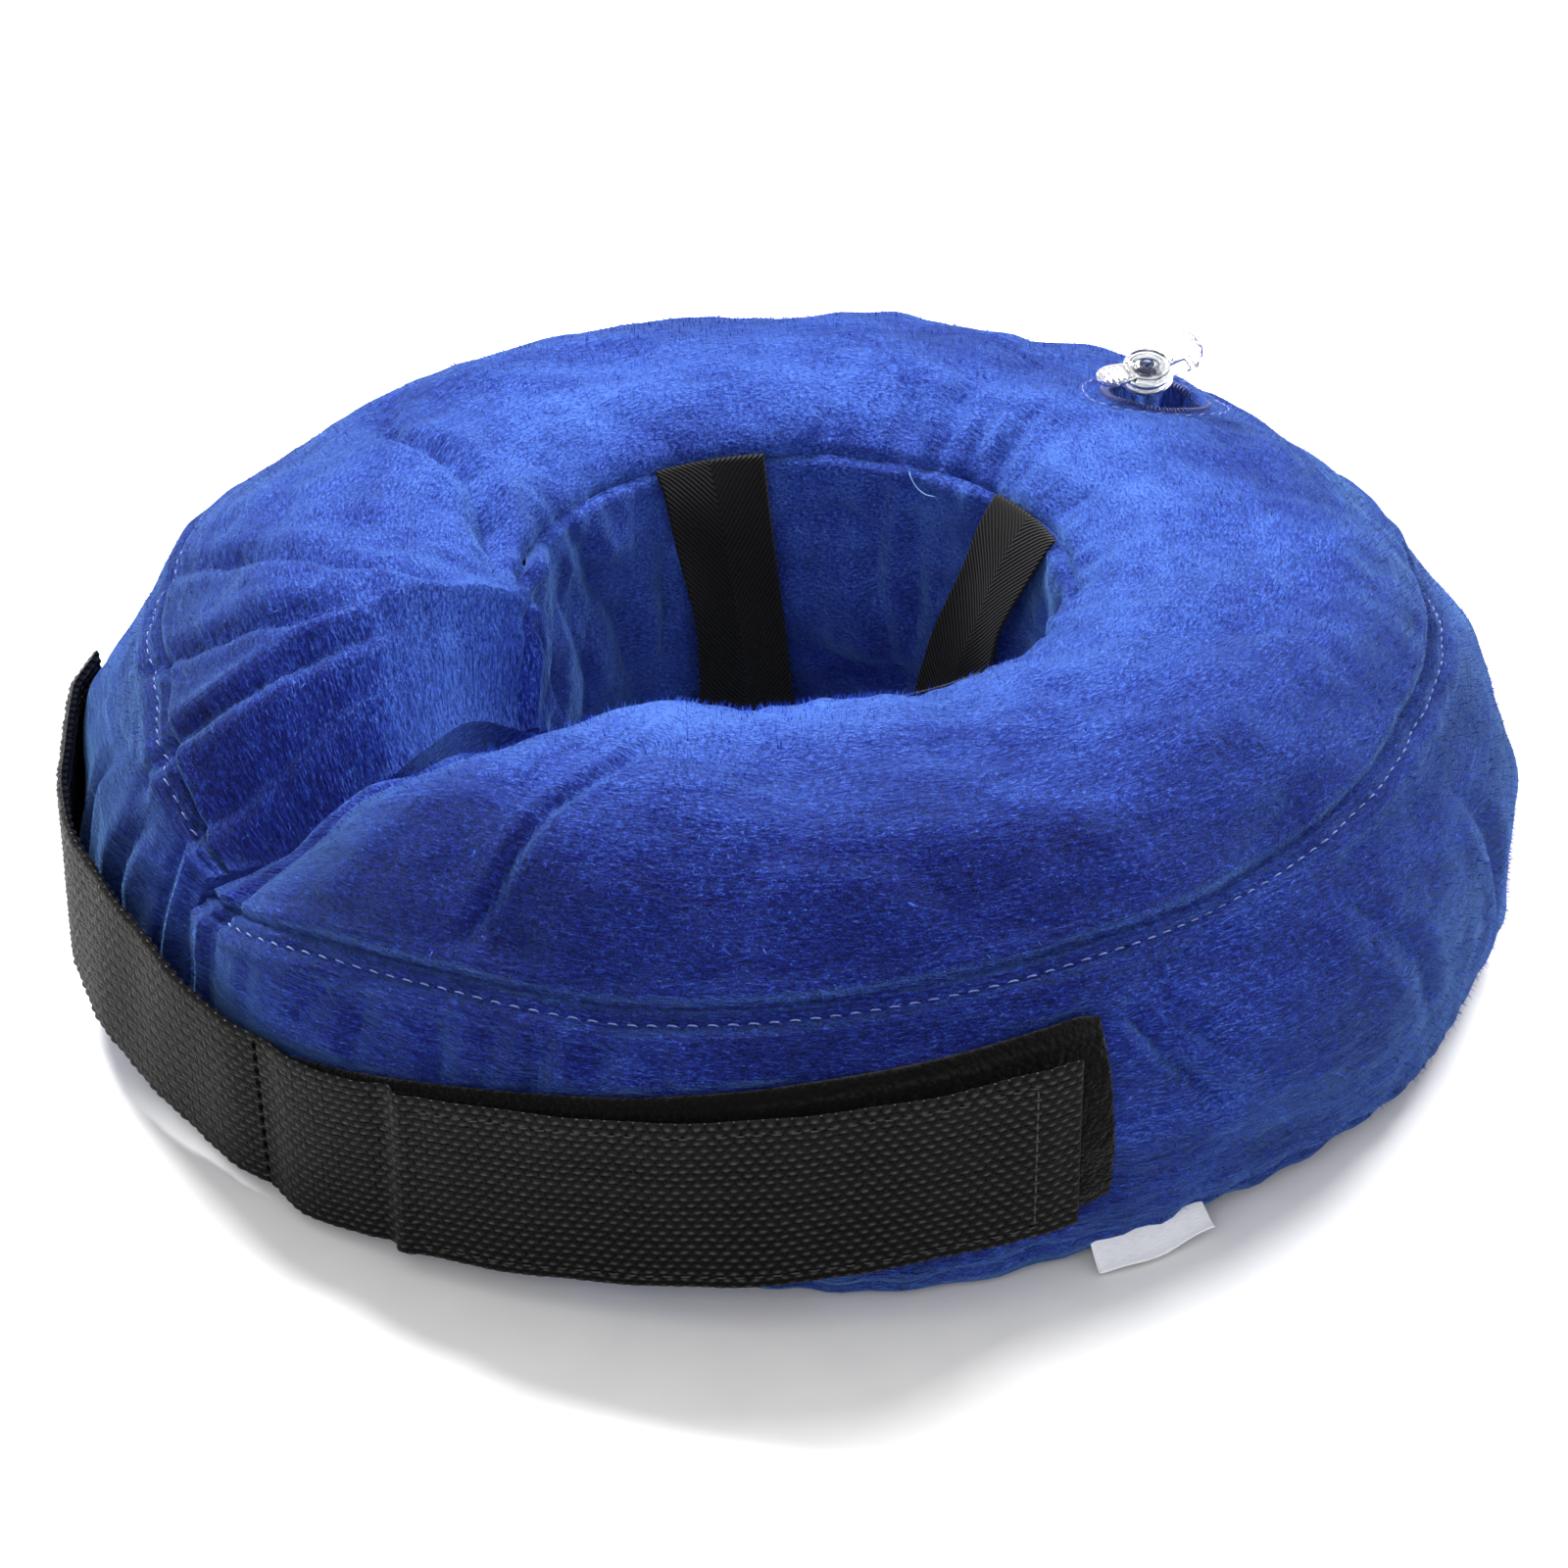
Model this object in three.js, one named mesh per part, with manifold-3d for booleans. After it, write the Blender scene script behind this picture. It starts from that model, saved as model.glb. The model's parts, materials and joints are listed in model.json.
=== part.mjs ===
// Inflatable plush recovery collar: a soft ring, split at the front, that goes round a pet's neck.
// Millimetres, +Z up. The origin is the ring's centre on the plane that it rests on.
// Angles are degrees round +Z from +X. The ring is split near 270 and flexes at 90.
import * as THREE from "three";
import { mergeVertices } from "three/addons/utils/BufferGeometryUtils.js";
import Module from "manifold-3d";

const wasm = await Module();
wasm.setup();

// ---- Driving dimensions ----
const TUBE_RADIUS = 105; // ring's centre to the middle of the inflated tube
const RING_STEP = 10; // degrees from one section to the next
const CLEARANCE = 0.3; // gap between two pieces that touch

const SPLIT_ANGLE = 278;
const SPLIT_HALF_GAP = 2.5; // degrees from the middle of the split to each end
const BACK_ANGLE = 90;
const BACK_HALF_GAP = 0.2; // degrees
const END_ROUNDING = 35; // length over which each end rounds off like a pillow
const END_SCALE = 0.72; // size of the section at the end face
const END_STATIONS = [0.6, 2, 4.5, 9, 16, 25, END_ROUNDING]; // distances back from the end face

const COVER_THICKNESS = 2.5; // plush and its backing
const BLADDER_OFFSET = 4; // bladder's outside, in from the cover's outside
const BLADDER_WALL = 1.2;
const SEAM_GAP = 0.4;

// The cover's section, as radius and height. Panels run from seam to seam.
const INNER_TOP_SEAM = [58, 78];
const OUTER_TOP_SEAM = [146, 57];
const OUTER_BOTTOM_SEAM = [146, 8];
const INNER_BOTTOM_SEAM = [60, 8];
const TOP_CROWN = [[77, 88], [96, 89.5], [116, 85.5], [133, 74]];
const OUTER_BULGE = [[152, 47], [155, 33], [152.5, 18]];
const NECK_WALL = [[55, 25], [55, 60]];
const FLAT_BOTTOM = [[137, 2], [125, 0], [85, 0], [71, 2]];
const TOP_DIVISIONS = 7;
const OUTER_DIVISIONS = 6;
const NECK_DIVISIONS = 4;
const BAND_STEPS = 10;

const STRAP_LOW = 8; // webbing 38 wide
const STRAP_HIGH = 46;
// Heights of the webbing's two edges at angles round the ring: it sags where it comes off the split.
const STRAP_EDGES = [
  [228, 14, 52], [262, 13, 51], [276, 8, 46], [292, 2.5, 40.5],
  [304, 4.5, 42.5], [325, 8, 46], [352, 17, 55],
];
const STRAP_STEP = 5;
const STRAP_INSIDE = 157.6;
const STRAP_THICKNESS = 1.6;
const ROOT_START = 228;
const STRAP_HINGE_ANGLE = 244;
const PEEL_HINGE_ANGLE = 303.5;
const STRAP_TIP_ANGLE = 352;
const HINGE_HALF_GAP = 0.36; // degrees, which lets the webbing turn past a right angle
const HOOK_THICKNESS = 0.8;
const HOOK_MARGIN = 1.5; // hook tape in from the webbing's edges
const PATCH_START = 286;
const PATCH_END = 355;
const PATCH_THICKNESS = 0.9;
const PATCH_LOW = 9;
const PATCH_HIGH = 49;
const PATCH_EDGES = [[286, 9, 34], [309, 9, 42], [343, 15, 53], [355, 18, 56]];

const LOOP_ANGLES = { right: 0, back: 94, left: 171 };
const LOOP_HALF_SPAN = 13; // degrees, which makes the tape 25 wide
const LOOP_LINE = [[56.2, 75.5], [51, 67], [46.2, 54], [45.2, 42], [45.8, 30], [50, 18], [55, 12]];
const LOOP_THICKNESS = 1.2;

const LABEL_ANGLE = 359.6;
const LABEL_HALF_SPAN = 5; // degrees
const LABEL_OUTLINE = [[146.8, 6.9], [154.9, 0.25], [155.5, 0.85], [147.3, 7.5]];

const ZIP_START = 118.5; // the slot in the outer band
const ZIP_END = 201.5;
const ZIP_MIDDLE = 16; // height of the zip's line
const ZIP_SLOT_HALF = 4.7;
const ZIP_TAPE = [1.9, 4.3]; // heights above and below the zip's line
const ZIP_COIL = [0.6, 1.6];
const ZIP_STEP = 4;
const ZIP_STOP_SPAN = 0.7;
const ZIP_COIL_MARGIN = 1.5; // degrees from the slot's end to the coil's
const SLIDER_SPAN = 3.2; // degrees
const SLIDER_HALF_HEIGHT = 3.6;
const SLIDER_BACK_HALF_HEIGHT = 2.4;
const PULL_LENGTH = 17;
const PULL_HALF_HEIGHT = 2.1;
const PULL_THICKNESS = 1;

const VALVE_ANGLE = 104;
const VALVE_RADIUS = 104;
const VALVE_YAW = 85; // direction that the stopper's tether lies in
const VALVE_LEAN = 18; // the stem's lean from upright
const VALVE_LEAN_TOWARDS = -112; // direction of the lean, from the tether's
const STEM_TOP = 6.5; // heights from here on are along the stem, from the cover's surface at the valve
const STEM_BOTTOM = -16;
const STEM_OUTER = 4.5;
const STEM_FOOT = 3.9;
const STEM_BORE = 3.4;
const RIM_RADIUS = 5.6;
const RIM_THICKNESS = 1.2;
const BLADDER_HOLE = 10.4;
const FLANGE_OUTER = 10;
const FLANGE_INNER = 5;
const FLANGE_THICKNESS = 1.2;
const FLANGE_DEPTH = 11; // below the cover's surface, which slopes
const SLOT_HALF = [14, 10.5]; // the button-hole, along and across the tether
const SLOT_OFFSET = 3; // its middle, from the stem's towards the tether
const BINDING_WIDTH = 1.6;
const BINDING_GAP = 0.4;
const TETHER_HINGE_X = 11.6;
const TETHER_HINGE_Z = 4.4;
const TETHER_WIDTH = 4;
const TETHER_THICKNESS = 1.1;
const TETHER_LINE = [[11.6, 4.4], [12.7, 7.4], [12.4, 10.8], [10.4, 13.4], [7.9, 13], [6, 10.4], [5, 7.6]];
const COLLAR_THICKNESS = 1.2;
const COLLAR_OUTER = 5.9;
const PLUG_LENGTH = 4.2;
const PLUG_TOP = 3;
const PLUG_FOOT = 2.6;
const STOPPER_FLANGE = 5.3;
const STOPPER_THICKNESS = 1.3;
const THUMB_TAB_REACH = 12;
const THUMB_TAB_HALF_WIDTH = 3.6;
const ROUND_SEGMENTS = 20;

// ---- Outlines: arrays of [x, y] points ----
const splinePoints = (points, divisions) =>
  new THREE.SplineCurve(points.map(([x, y]) => new THREE.Vector2(x, y)))
    .getPoints(divisions)
    .map((p) => [p.x, p.y]);

// A line of points moved to its right-hand side, with mitred corners.
function offsetLine(points, distance, closed = false) {
  const count = points.length;
  const normal = (from, to) => {
    const [dx, dy] = [to[0] - from[0], to[1] - from[1]];
    const length = Math.hypot(dx, dy);
    return [dy / length, -dx / length];
  };
  return points.map((p, i) => {
    const before = closed || i > 0 ? points[(i - 1 + count) % count] : null;
    const after = closed || i < count - 1 ? points[(i + 1) % count] : null;
    const n1 = before ? normal(before, p) : normal(p, after);
    const n2 = after ? normal(p, after) : n1;
    const sum = [n1[0] + n2[0], n1[1] + n2[1]];
    const scale = distance / (sum[0] * n1[0] + sum[1] * n1[1]);
    return [p[0] + sum[0] * scale, p[1] + sum[1] * scale];
  });
}

const strip = (points, near, far) => [
  ...offsetLine(points, near),
  ...offsetLine(points, far).reverse(),
];

const rectangle = (x0, x1, y0, y1) => [[x0, y0], [x1, y0], [x1, y1], [x0, y1]];

// ---- The cover's section ----
const TOP_LINE = splinePoints([INNER_TOP_SEAM, ...TOP_CROWN, OUTER_TOP_SEAM], TOP_DIVISIONS);
const OUTER_LINE = splinePoints(
  [OUTER_TOP_SEAM, ...OUTER_BULGE, OUTER_BOTTOM_SEAM],
  OUTER_DIVISIONS,
);
const BOTTOM_LINE = [OUTER_BOTTOM_SEAM, ...FLAT_BOTTOM, INNER_BOTTOM_SEAM];
const NECK_LINE = splinePoints([INNER_BOTTOM_SEAM, ...NECK_WALL, INNER_TOP_SEAM], NECK_DIVISIONS);
const PANEL_LINES = { top: TOP_LINE, outer: OUTER_LINE, bottom: BOTTOM_LINE, neck: NECK_LINE };
const COVER = Object.values(PANEL_LINES).flatMap((line) => line.slice(0, -1));

// One panel's section: from seam to seam, with half the seam's gap left at each end.
function panelOutline(name) {
  const names = Object.keys(PANEL_LINES);
  const first = names
    .slice(0, names.indexOf(name))
    .reduce((sum, other) => sum + PANEL_LINES[other].length - 1, 0);
  const sides = [COVER, offsetLine(COVER, COVER_THICKNESS, true)].map((loop) => {
    const line = PANEL_LINES[name].map((_, i) => [...loop[(first + i) % loop.length]]);
    const shorten = (end, next) => {
      const length = Math.hypot(next[0] - end[0], next[1] - end[1]);
      const share = SEAM_GAP / 2 / length;
      return [end[0] + (next[0] - end[0]) * share, end[1] + (next[1] - end[1]) * share];
    };
    const last = line.length - 1;
    const ends = [shorten(line[0], line[1]), shorten(line[last], line[last - 1])];
    return [ends[0], ...line.slice(1, last), ends[1]];
  });
  return [...sides[0], ...sides[1].reverse()];
}

// The other coordinate of the point where a line reaches a value along one axis.
function heightOnLine(line, value, axis) {
  const other = 1 - axis;
  const i = line.findIndex((p, k) => k > 0 && (p[axis] - value) * (line[k - 1][axis] - value) <= 0);
  const [a, b] = [line[i - 1], line[i]];
  return a[other] + ((value - a[axis]) / (b[axis] - a[axis])) * (b[other] - a[other]);
}
const bandRadius = (z) => heightOnLine(OUTER_LINE, z, 1);
const crownHeight = (r) => heightOnLine(TOP_LINE, r, 0);
// A strip along the band between two heights, with its faces set in from the band's outside.
function bandStrip(low, high, near, far) {
  const line = Array.from({ length: BAND_STEPS + 1 }, (_, i) => {
    const z = high + ((low - high) * i) / BAND_STEPS;
    return [bandRadius(z), z];
  });
  const inset = (distance) => line.map(([r, z]) => [r - distance, z]);
  return [...inset(near), ...inset(far).reverse()];
}

// ---- Solids ----
const radians = THREE.MathUtils.degToRad;
const arcDegrees = (length) => THREE.MathUtils.radToDeg(length / TUBE_RADIUS);

// Size of the ring's section at an angle: 1, but rounding off to END_SCALE at the split.
function ringScale(angle) {
  const degrees = Math.abs(angle - SPLIT_ANGLE) - SPLIT_HALF_GAP;
  const share = Math.min(1, Math.max(0, radians(degrees) * TUBE_RADIUS) / END_ROUNDING);
  return END_SCALE + (1 - END_SCALE) * Math.sqrt(1 - (1 - share) ** 2);
}

function stations(from, to, step, tapered) {
  const found = [from, to];
  for (let a = Math.ceil(from / step) * step; a < to; a += step) found.push(a);
  for (const distance of tapered ? END_STATIONS : []) {
    const turn = SPLIT_HALF_GAP + arcDegrees(distance);
    found.push(SPLIT_ANGLE - turn, SPLIT_ANGLE + turn);
  }
  return found
    .filter((a) => a >= from && a <= to)
    .sort((a, b) => a - b)
    .filter((a, i, all) => i === 0 || a - all[i - 1] > 0.1);
}

// An outline of radius and height, extruded straight and then bent round the ring's axis.
// place gives a point's final radius and height at an angle.
const keepPlace = (r, z) => [r, z];
function bend(outline, from, to, { step = RING_STEP, tapered = false, place = keepPlace } = {}) {
  const shape = new THREE.Shape(outline.map(([r, z]) => new THREE.Vector2(r, z)));
  const angles = stations(from, to, step, tapered).reverse();
  const steps = angles.length - 1;
  const geometry = new THREE.ExtrudeGeometry(shape, { depth: steps, steps, bevelEnabled: false });
  const position = geometry.attributes.position;
  for (let i = 0; i < position.count; i += 1) {
    const angle = angles[Math.round(position.getZ(i))];
    const scale = tapered ? ringScale(angle) : 1;
    const [placed, z] = place(position.getX(i), position.getY(i), angle);
    const r = TUBE_RADIUS + (placed - TUBE_RADIUS) * scale;
    const turn = radians(angle);
    position.setXYZ(i, r * Math.cos(turn), r * Math.sin(turn), z * scale);
  }
  return geometry;
}

function extrude(outline, depth, holes = []) {
  const shape = new THREE.Shape(outline.map(([x, y]) => new THREE.Vector2(x, y)));
  shape.holes = holes.map((hole) => new THREE.Path(hole.map(([x, y]) => new THREE.Vector2(x, y))));
  return new THREE.ExtrudeGeometry(shape, { depth, bevelEnabled: false });
}

// A closed profile of radius and height, turned round +Z.
const lathe = (profile) =>
  new THREE.LatheGeometry(
    profile.map(([r, z]) => new THREE.Vector2(r, z)),
    ROUND_SEGMENTS,
  ).rotateX(Math.PI / 2);

const ring = (inner, outer, low, high) =>
  lathe([[inner, low], [outer, low], [outer, high], [inner, high], [inner, low]]);

const ellipse = (a, b) =>
  new THREE.EllipseCurve(0, 0, a, b)
    .getPoints(ROUND_SEGMENTS)
    .slice(0, -1)
    .map((p) => [p.x, p.y]);

function toSolid(geometry) {
  const bare = new THREE.BufferGeometry().setAttribute(
    "position",
    (geometry.index ? geometry.toNonIndexed() : geometry).getAttribute("position"),
  );
  const merged = mergeVertices(bare, 1e-4);
  return new wasm.Manifold(
    new wasm.Mesh({
      numProp: 3,
      vertProperties: merged.attributes.position.array,
      triVerts: new Uint32Array(merged.index.array),
    }),
  );
}

function toGeometry(solid) {
  const mesh = solid.getMesh();
  return new THREE.BufferGeometry()
    .setAttribute("position", new THREE.BufferAttribute(mesh.vertProperties, 3))
    .setIndex(new THREE.BufferAttribute(mesh.triVerts, 1));
}

const cut = (geometry, ...tools) =>
  toGeometry(tools.reduce((solid, tool) => solid.subtract(toSolid(tool)), toSolid(geometry)));
const join = (...geometries) =>
  toGeometry(geometries.map(toSolid).reduce((whole, solid) => whole.add(solid)));

// ---- Materials ----
const material = (color, roughness, options = {}) => () =>
  new THREE.MeshStandardMaterial({ color, roughness, metalness: 0, ...options });
const plush = material(0x1238b4, 0.85);
const bladderFilm = material(0xd8dee2, 0.35);
const blackWebbing = material(0x17171a, 0.7);
const blackTape = material(0x101012, 0.75);
const blackHook = material(0x0c0c0d, 0.9);
const clearVinyl = material(0xe6eaec, 0.12, { transparent: true, opacity: 0.6 });
const blueThread = material(0x2a62d8, 0.6);
const satin = material(0xeceef2, 0.4);
const zipCloth = material(0x14308f, 0.8);
const zipPlastic = material(0x1a3cae, 0.4);
const nickel = material(0xb9bcc0, 0.3, { metalness: 1 });

const collar = new THREE.Group();

function addPart(name, geometry, makeMaterial, parent = collar) {
  const mesh = new THREE.Mesh(geometry, makeMaterial());
  mesh.name = name;
  parent.add(mesh);
}

// ---- The valve's place ----
const SURFACE = crownHeight(VALVE_RADIUS);
const SURFACE_SLOPE = (crownHeight(VALVE_RADIUS + 5) - crownHeight(VALVE_RADIUS - 5)) / 10;
const valve = new THREE.Group();
valve.position.set(
  VALVE_RADIUS * Math.cos(radians(VALVE_ANGLE)),
  VALVE_RADIUS * Math.sin(radians(VALVE_ANGLE)),
  SURFACE,
);
valve.rotation.z = radians(VALVE_YAW);
valve.updateMatrix();
collar.add(valve);

const leanTurn = radians(VALVE_LEAN_TOWARDS);
const leaning = new THREE.Group();
leaning.quaternion.setFromAxisAngle(
  new THREE.Vector3(-Math.sin(leanTurn), Math.cos(leanTurn), 0),
  radians(VALVE_LEAN),
);
leaning.updateMatrix();
valve.add(leaning);

// An oval block through the cover, its ends parallel to the sloping surface.
function ovalBlock(half, low, high, holes = []) {
  const away = radians(VALVE_ANGLE - VALVE_YAW);
  const slopes = [Math.cos(away) * SURFACE_SLOPE, Math.sin(away) * SURFACE_SLOPE];
  const shear = new THREE.Matrix4().makeShear(0, slopes[0], 0, slopes[1], 0, 0);
  return extrude(ellipse(...half), high - low, holes)
    .translate(SLOT_OFFSET, 0, low)
    .applyMatrix4(shear);
}

// ---- The two halves of the ring ----
const HALVES = {
  left: [BACK_ANGLE + BACK_HALF_GAP, SPLIT_ANGLE - SPLIT_HALF_GAP],
  right: [SPLIT_ANGLE + SPLIT_HALF_GAP, BACK_ANGLE + 360 - BACK_HALF_GAP],
};

// From the back of a half to a distance short of its end at the split.
function halfSpan(side, short, beyondBack = 0) {
  const [from, to] = HALVES[side];
  const turn = arcDegrees(short);
  return side === "left" ? [from - beyondBack, to - turn] : [from + turn, to + beyondBack];
}

function makeCover(side) {
  for (const name of Object.keys(PANEL_LINES)) {
    let geometry = bend(panelOutline(name), ...HALVES[side], { tapered: true });
    if (side === "left" && name === "top") {
      geometry = cut(geometry, ovalBlock(SLOT_HALF, -12, 12).applyMatrix4(valve.matrix));
    }
    if (side === "left" && name === "outer") {
      const slot = rectangle(
        TUBE_RADIUS,
        STRAP_INSIDE,
        ZIP_MIDDLE - ZIP_SLOT_HALF,
        ZIP_MIDDLE + ZIP_SLOT_HALF,
      );
      geometry = cut(geometry, bend(slot, ZIP_START, ZIP_END, { step: ZIP_STEP }));
    }
    addPart(`${name}_panel_${side}`, geometry, plush);
  }
  const endOutline = offsetLine(COVER, COVER_THICKNESS + CLEARANCE, true);
  const [from, to] = HALVES[side];
  const thick = arcDegrees(2);
  const span = side === "left" ? [to - thick, to] : [from, from + thick];
  addPart(`end_panel_${side}`, bend(endOutline, ...span, { tapered: true }), plush);
}

function makeBladder(side) {
  const outside = offsetLine(COVER, BLADDER_OFFSET, true);
  const inside = offsetLine(COVER, BLADDER_OFFSET + BLADDER_WALL, true);
  const tools = [bend(inside, ...halfSpan(side, 5, 1), { tapered: true })];
  if (side === "left") {
    const hole = ring(0, BLADDER_HOLE, -18, 12).applyMatrix4(leaning.matrix);
    tools.push(hole.applyMatrix4(valve.matrix));
  }
  const body = bend(outside, ...halfSpan(side, 3.5), { tapered: true });
  addPart(`bladder_${side}`, cut(body, ...tools), bladderFilm);
}

function makeNeckLoops() {
  const outline = strip(splinePoints(LOOP_LINE, 8), -LOOP_THICKNESS / 2, LOOP_THICKNESS / 2);
  for (const [place, angle] of Object.entries(LOOP_ANGLES)) {
    const span = [angle - LOOP_HALF_SPAN, angle + LOOP_HALF_SPAN];
    addPart(`neck_loop_${place}`, bend(outline, ...span), blackTape);
  }
}

// ---- The closure strap ----
// Places the heights from low to high between the two edges that a table gives at an angle.
function betweenEdges(table, low, high) {
  return (r, z, angle) => {
    const last = table.length - 2;
    const found = table.findIndex((row, i) => i < last && angle < table[i + 1][0]);
    const [start, end] = table.slice(found < 0 ? last : found);
    const share = (angle - start[0]) / (end[0] - start[0]);
    const edges = [1, 2].map((i) => start[i] + (end[i] - start[i]) * share);
    return [r, edges[0] + ((z - low) / (high - low)) * (edges[1] - edges[0])];
  };
}

// The same, lying along the bulge of the outer band.
function betweenEdgesOnBand(table, low, high) {
  const place = betweenEdges(table, low, high);
  return (r, z, angle) => {
    const placed = place(r, z, angle)[1];
    return [r - bandRadius(z) + bandRadius(placed), placed];
  };
}

function makeStrap() {
  const step = STRAP_STEP;
  const place = betweenEdges(STRAP_EDGES, STRAP_LOW, STRAP_HIGH);
  const rootPlace = betweenEdgesOnBand(STRAP_EDGES, STRAP_LOW, STRAP_HIGH);
  const patchPlace = betweenEdgesOnBand(PATCH_EDGES, PATCH_LOW, PATCH_HIGH);
  const root = bandStrip(STRAP_LOW + 0.6, STRAP_HIGH, -CLEARANCE, -CLEARANCE - STRAP_THICKNESS);
  const webbing = rectangle(
    STRAP_INSIDE,
    STRAP_INSIDE + STRAP_THICKNESS,
    STRAP_LOW,
    STRAP_HIGH,
  );
  const hookOutside = STRAP_INSIDE - CLEARANCE;
  const hook = rectangle(
    hookOutside - HOOK_THICKNESS,
    hookOutside,
    STRAP_LOW + HOOK_MARGIN,
    STRAP_HIGH - HOOK_MARGIN,
  );
  const patch = bandStrip(PATCH_LOW, PATCH_HIGH, -CLEARANCE, -CLEARANCE - PATCH_THICKNESS);
  const swing = STRAP_HINGE_ANGLE;
  const peel = PEEL_HINGE_ANGLE;
  const gap = HINGE_HALF_GAP;
  const tip = STRAP_TIP_ANGLE;
  const rootGeometry = bend(root, ROOT_START, swing - gap, { step, place: rootPlace });
  const patchOptions = { step, tapered: true, place: patchPlace };
  const patchGeometry = bend(patch, PATCH_START, PATCH_END, patchOptions);
  const hookGeometry = bend(hook, peel + 2 * gap, tip - 1, { step, place });
  addPart("strap_root", rootGeometry, blackWebbing);
  addPart("strap_webbing", bend(webbing, swing + gap, peel - gap, { step, place }), blackWebbing);
  addPart("strap_end_webbing", bend(webbing, peel + gap, tip, { step, place }), blackWebbing);
  addPart("hook_tape", hookGeometry, blackHook);
  addPart("loop_patch", patchGeometry, blackHook);
}

function makeCareLabel() {
  const span = [LABEL_ANGLE - LABEL_HALF_SPAN, LABEL_ANGLE + LABEL_HALF_SPAN];
  addPart("care_label", bend(LABEL_OUTLINE, ...span), satin);
}

// ---- The zip in the outer band: sizes are in from the band's surface, and up from the zip's line ----
const ZIP_RADIUS = bandRadius(ZIP_MIDDLE);
const zipSection = (near, far, [low, high]) =>
  rectangle(ZIP_RADIUS - far, ZIP_RADIUS - near, ZIP_MIDDLE + low, ZIP_MIDDLE + high);

function makeZip() {
  const coilSpan = [ZIP_START + ZIP_COIL_MARGIN, ZIP_END - ZIP_COIL_MARGIN];
  const tapeSpan = [ZIP_START + 0.2, ZIP_END - 0.2];
  for (const [place, sign] of Object.entries({ lower: -1, upper: 1 })) {
    const heights = (limits) => limits.map((up) => sign * up).sort((a, b) => a - b);
    const tape = zipSection(0.6, 1.4, heights(ZIP_TAPE));
    const coil = zipSection(0.3, 1.7, heights(ZIP_COIL));
    addPart(`zip_tape_${place}`, bend(tape, ...tapeSpan, { step: ZIP_STEP }), zipCloth);
    addPart(`zip_coil_${place}`, bend(coil, ...coilSpan, { step: ZIP_STEP }), zipPlastic);
  }
  const stop = zipSection(-0.2, 1.7, [-ZIP_COIL[1], ZIP_COIL[1]]);
  const stopStarts = {
    start: coilSpan[0] - CLEARANCE / 2 - ZIP_STOP_SPAN,
    end: coilSpan[1] + CLEARANCE / 2,
  };
  for (const [place, from] of Object.entries(stopStarts)) {
    addPart(`zip_stop_${place}`, bend(stop, from, from + ZIP_STOP_SPAN), nickel);
  }
  makeSlider(coilSpan[0] + 0.2);
}

// The slider straddles the coils: a plate inside, a plate outside with two ears, and a web between.
function makeSlider(from) {
  const half = SLIDER_HALF_HEIGHT;
  const back = SLIDER_BACK_HALF_HEIGHT;
  const web = 0.3;
  const section = [
    [3, -back], [3, back], [2.1, back], [2.1, web], [-0.1, web], [-0.1, half],
    [-2.9, half], [-2.9, half - 1], [-1.3, half - 1],
    [-1.3, 1 - half], [-2.9, 1 - half], [-2.9, -half],
    [-0.1, -half], [-0.1, -web], [2.1, -web], [2.1, -back],
  ];
  const outline = section.map(([depth, up]) => [ZIP_RADIUS - depth, ZIP_MIDDLE + up]);
  addPart("zip_slider", bend(outline, from, from + SLIDER_SPAN), nickel);

  const pull = new THREE.Group();
  const middle = radians(from + SLIDER_SPAN / 2);
  const radius = ZIP_RADIUS + 2.3;
  pull.position.set(radius * Math.cos(middle), radius * Math.sin(middle), ZIP_MIDDLE);
  pull.rotation.z = middle;
  collar.add(pull);
  const halfThick = PULL_THICKNESS / 2;
  const knuckle = new THREE.EllipseCurve(0, 0, halfThick, halfThick, 0, Math.PI)
    .getPoints(6)
    .map((p) => [p.x, p.y]);
  const blade = extrude(
    [...knuckle, [-halfThick, -PULL_LENGTH], [halfThick, -PULL_LENGTH]],
    2 * PULL_HALF_HEIGHT,
  ).translate(0, 0, -PULL_HALF_HEIGHT);
  const eye = new THREE.CylinderGeometry(1.1, 1.1, 4, ROUND_SEGMENTS).rotateZ(Math.PI / 2);
  addPart("zip_pull", cut(blade, eye.translate(0, 3 - PULL_LENGTH, 0)), nickel, pull);
}

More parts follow.
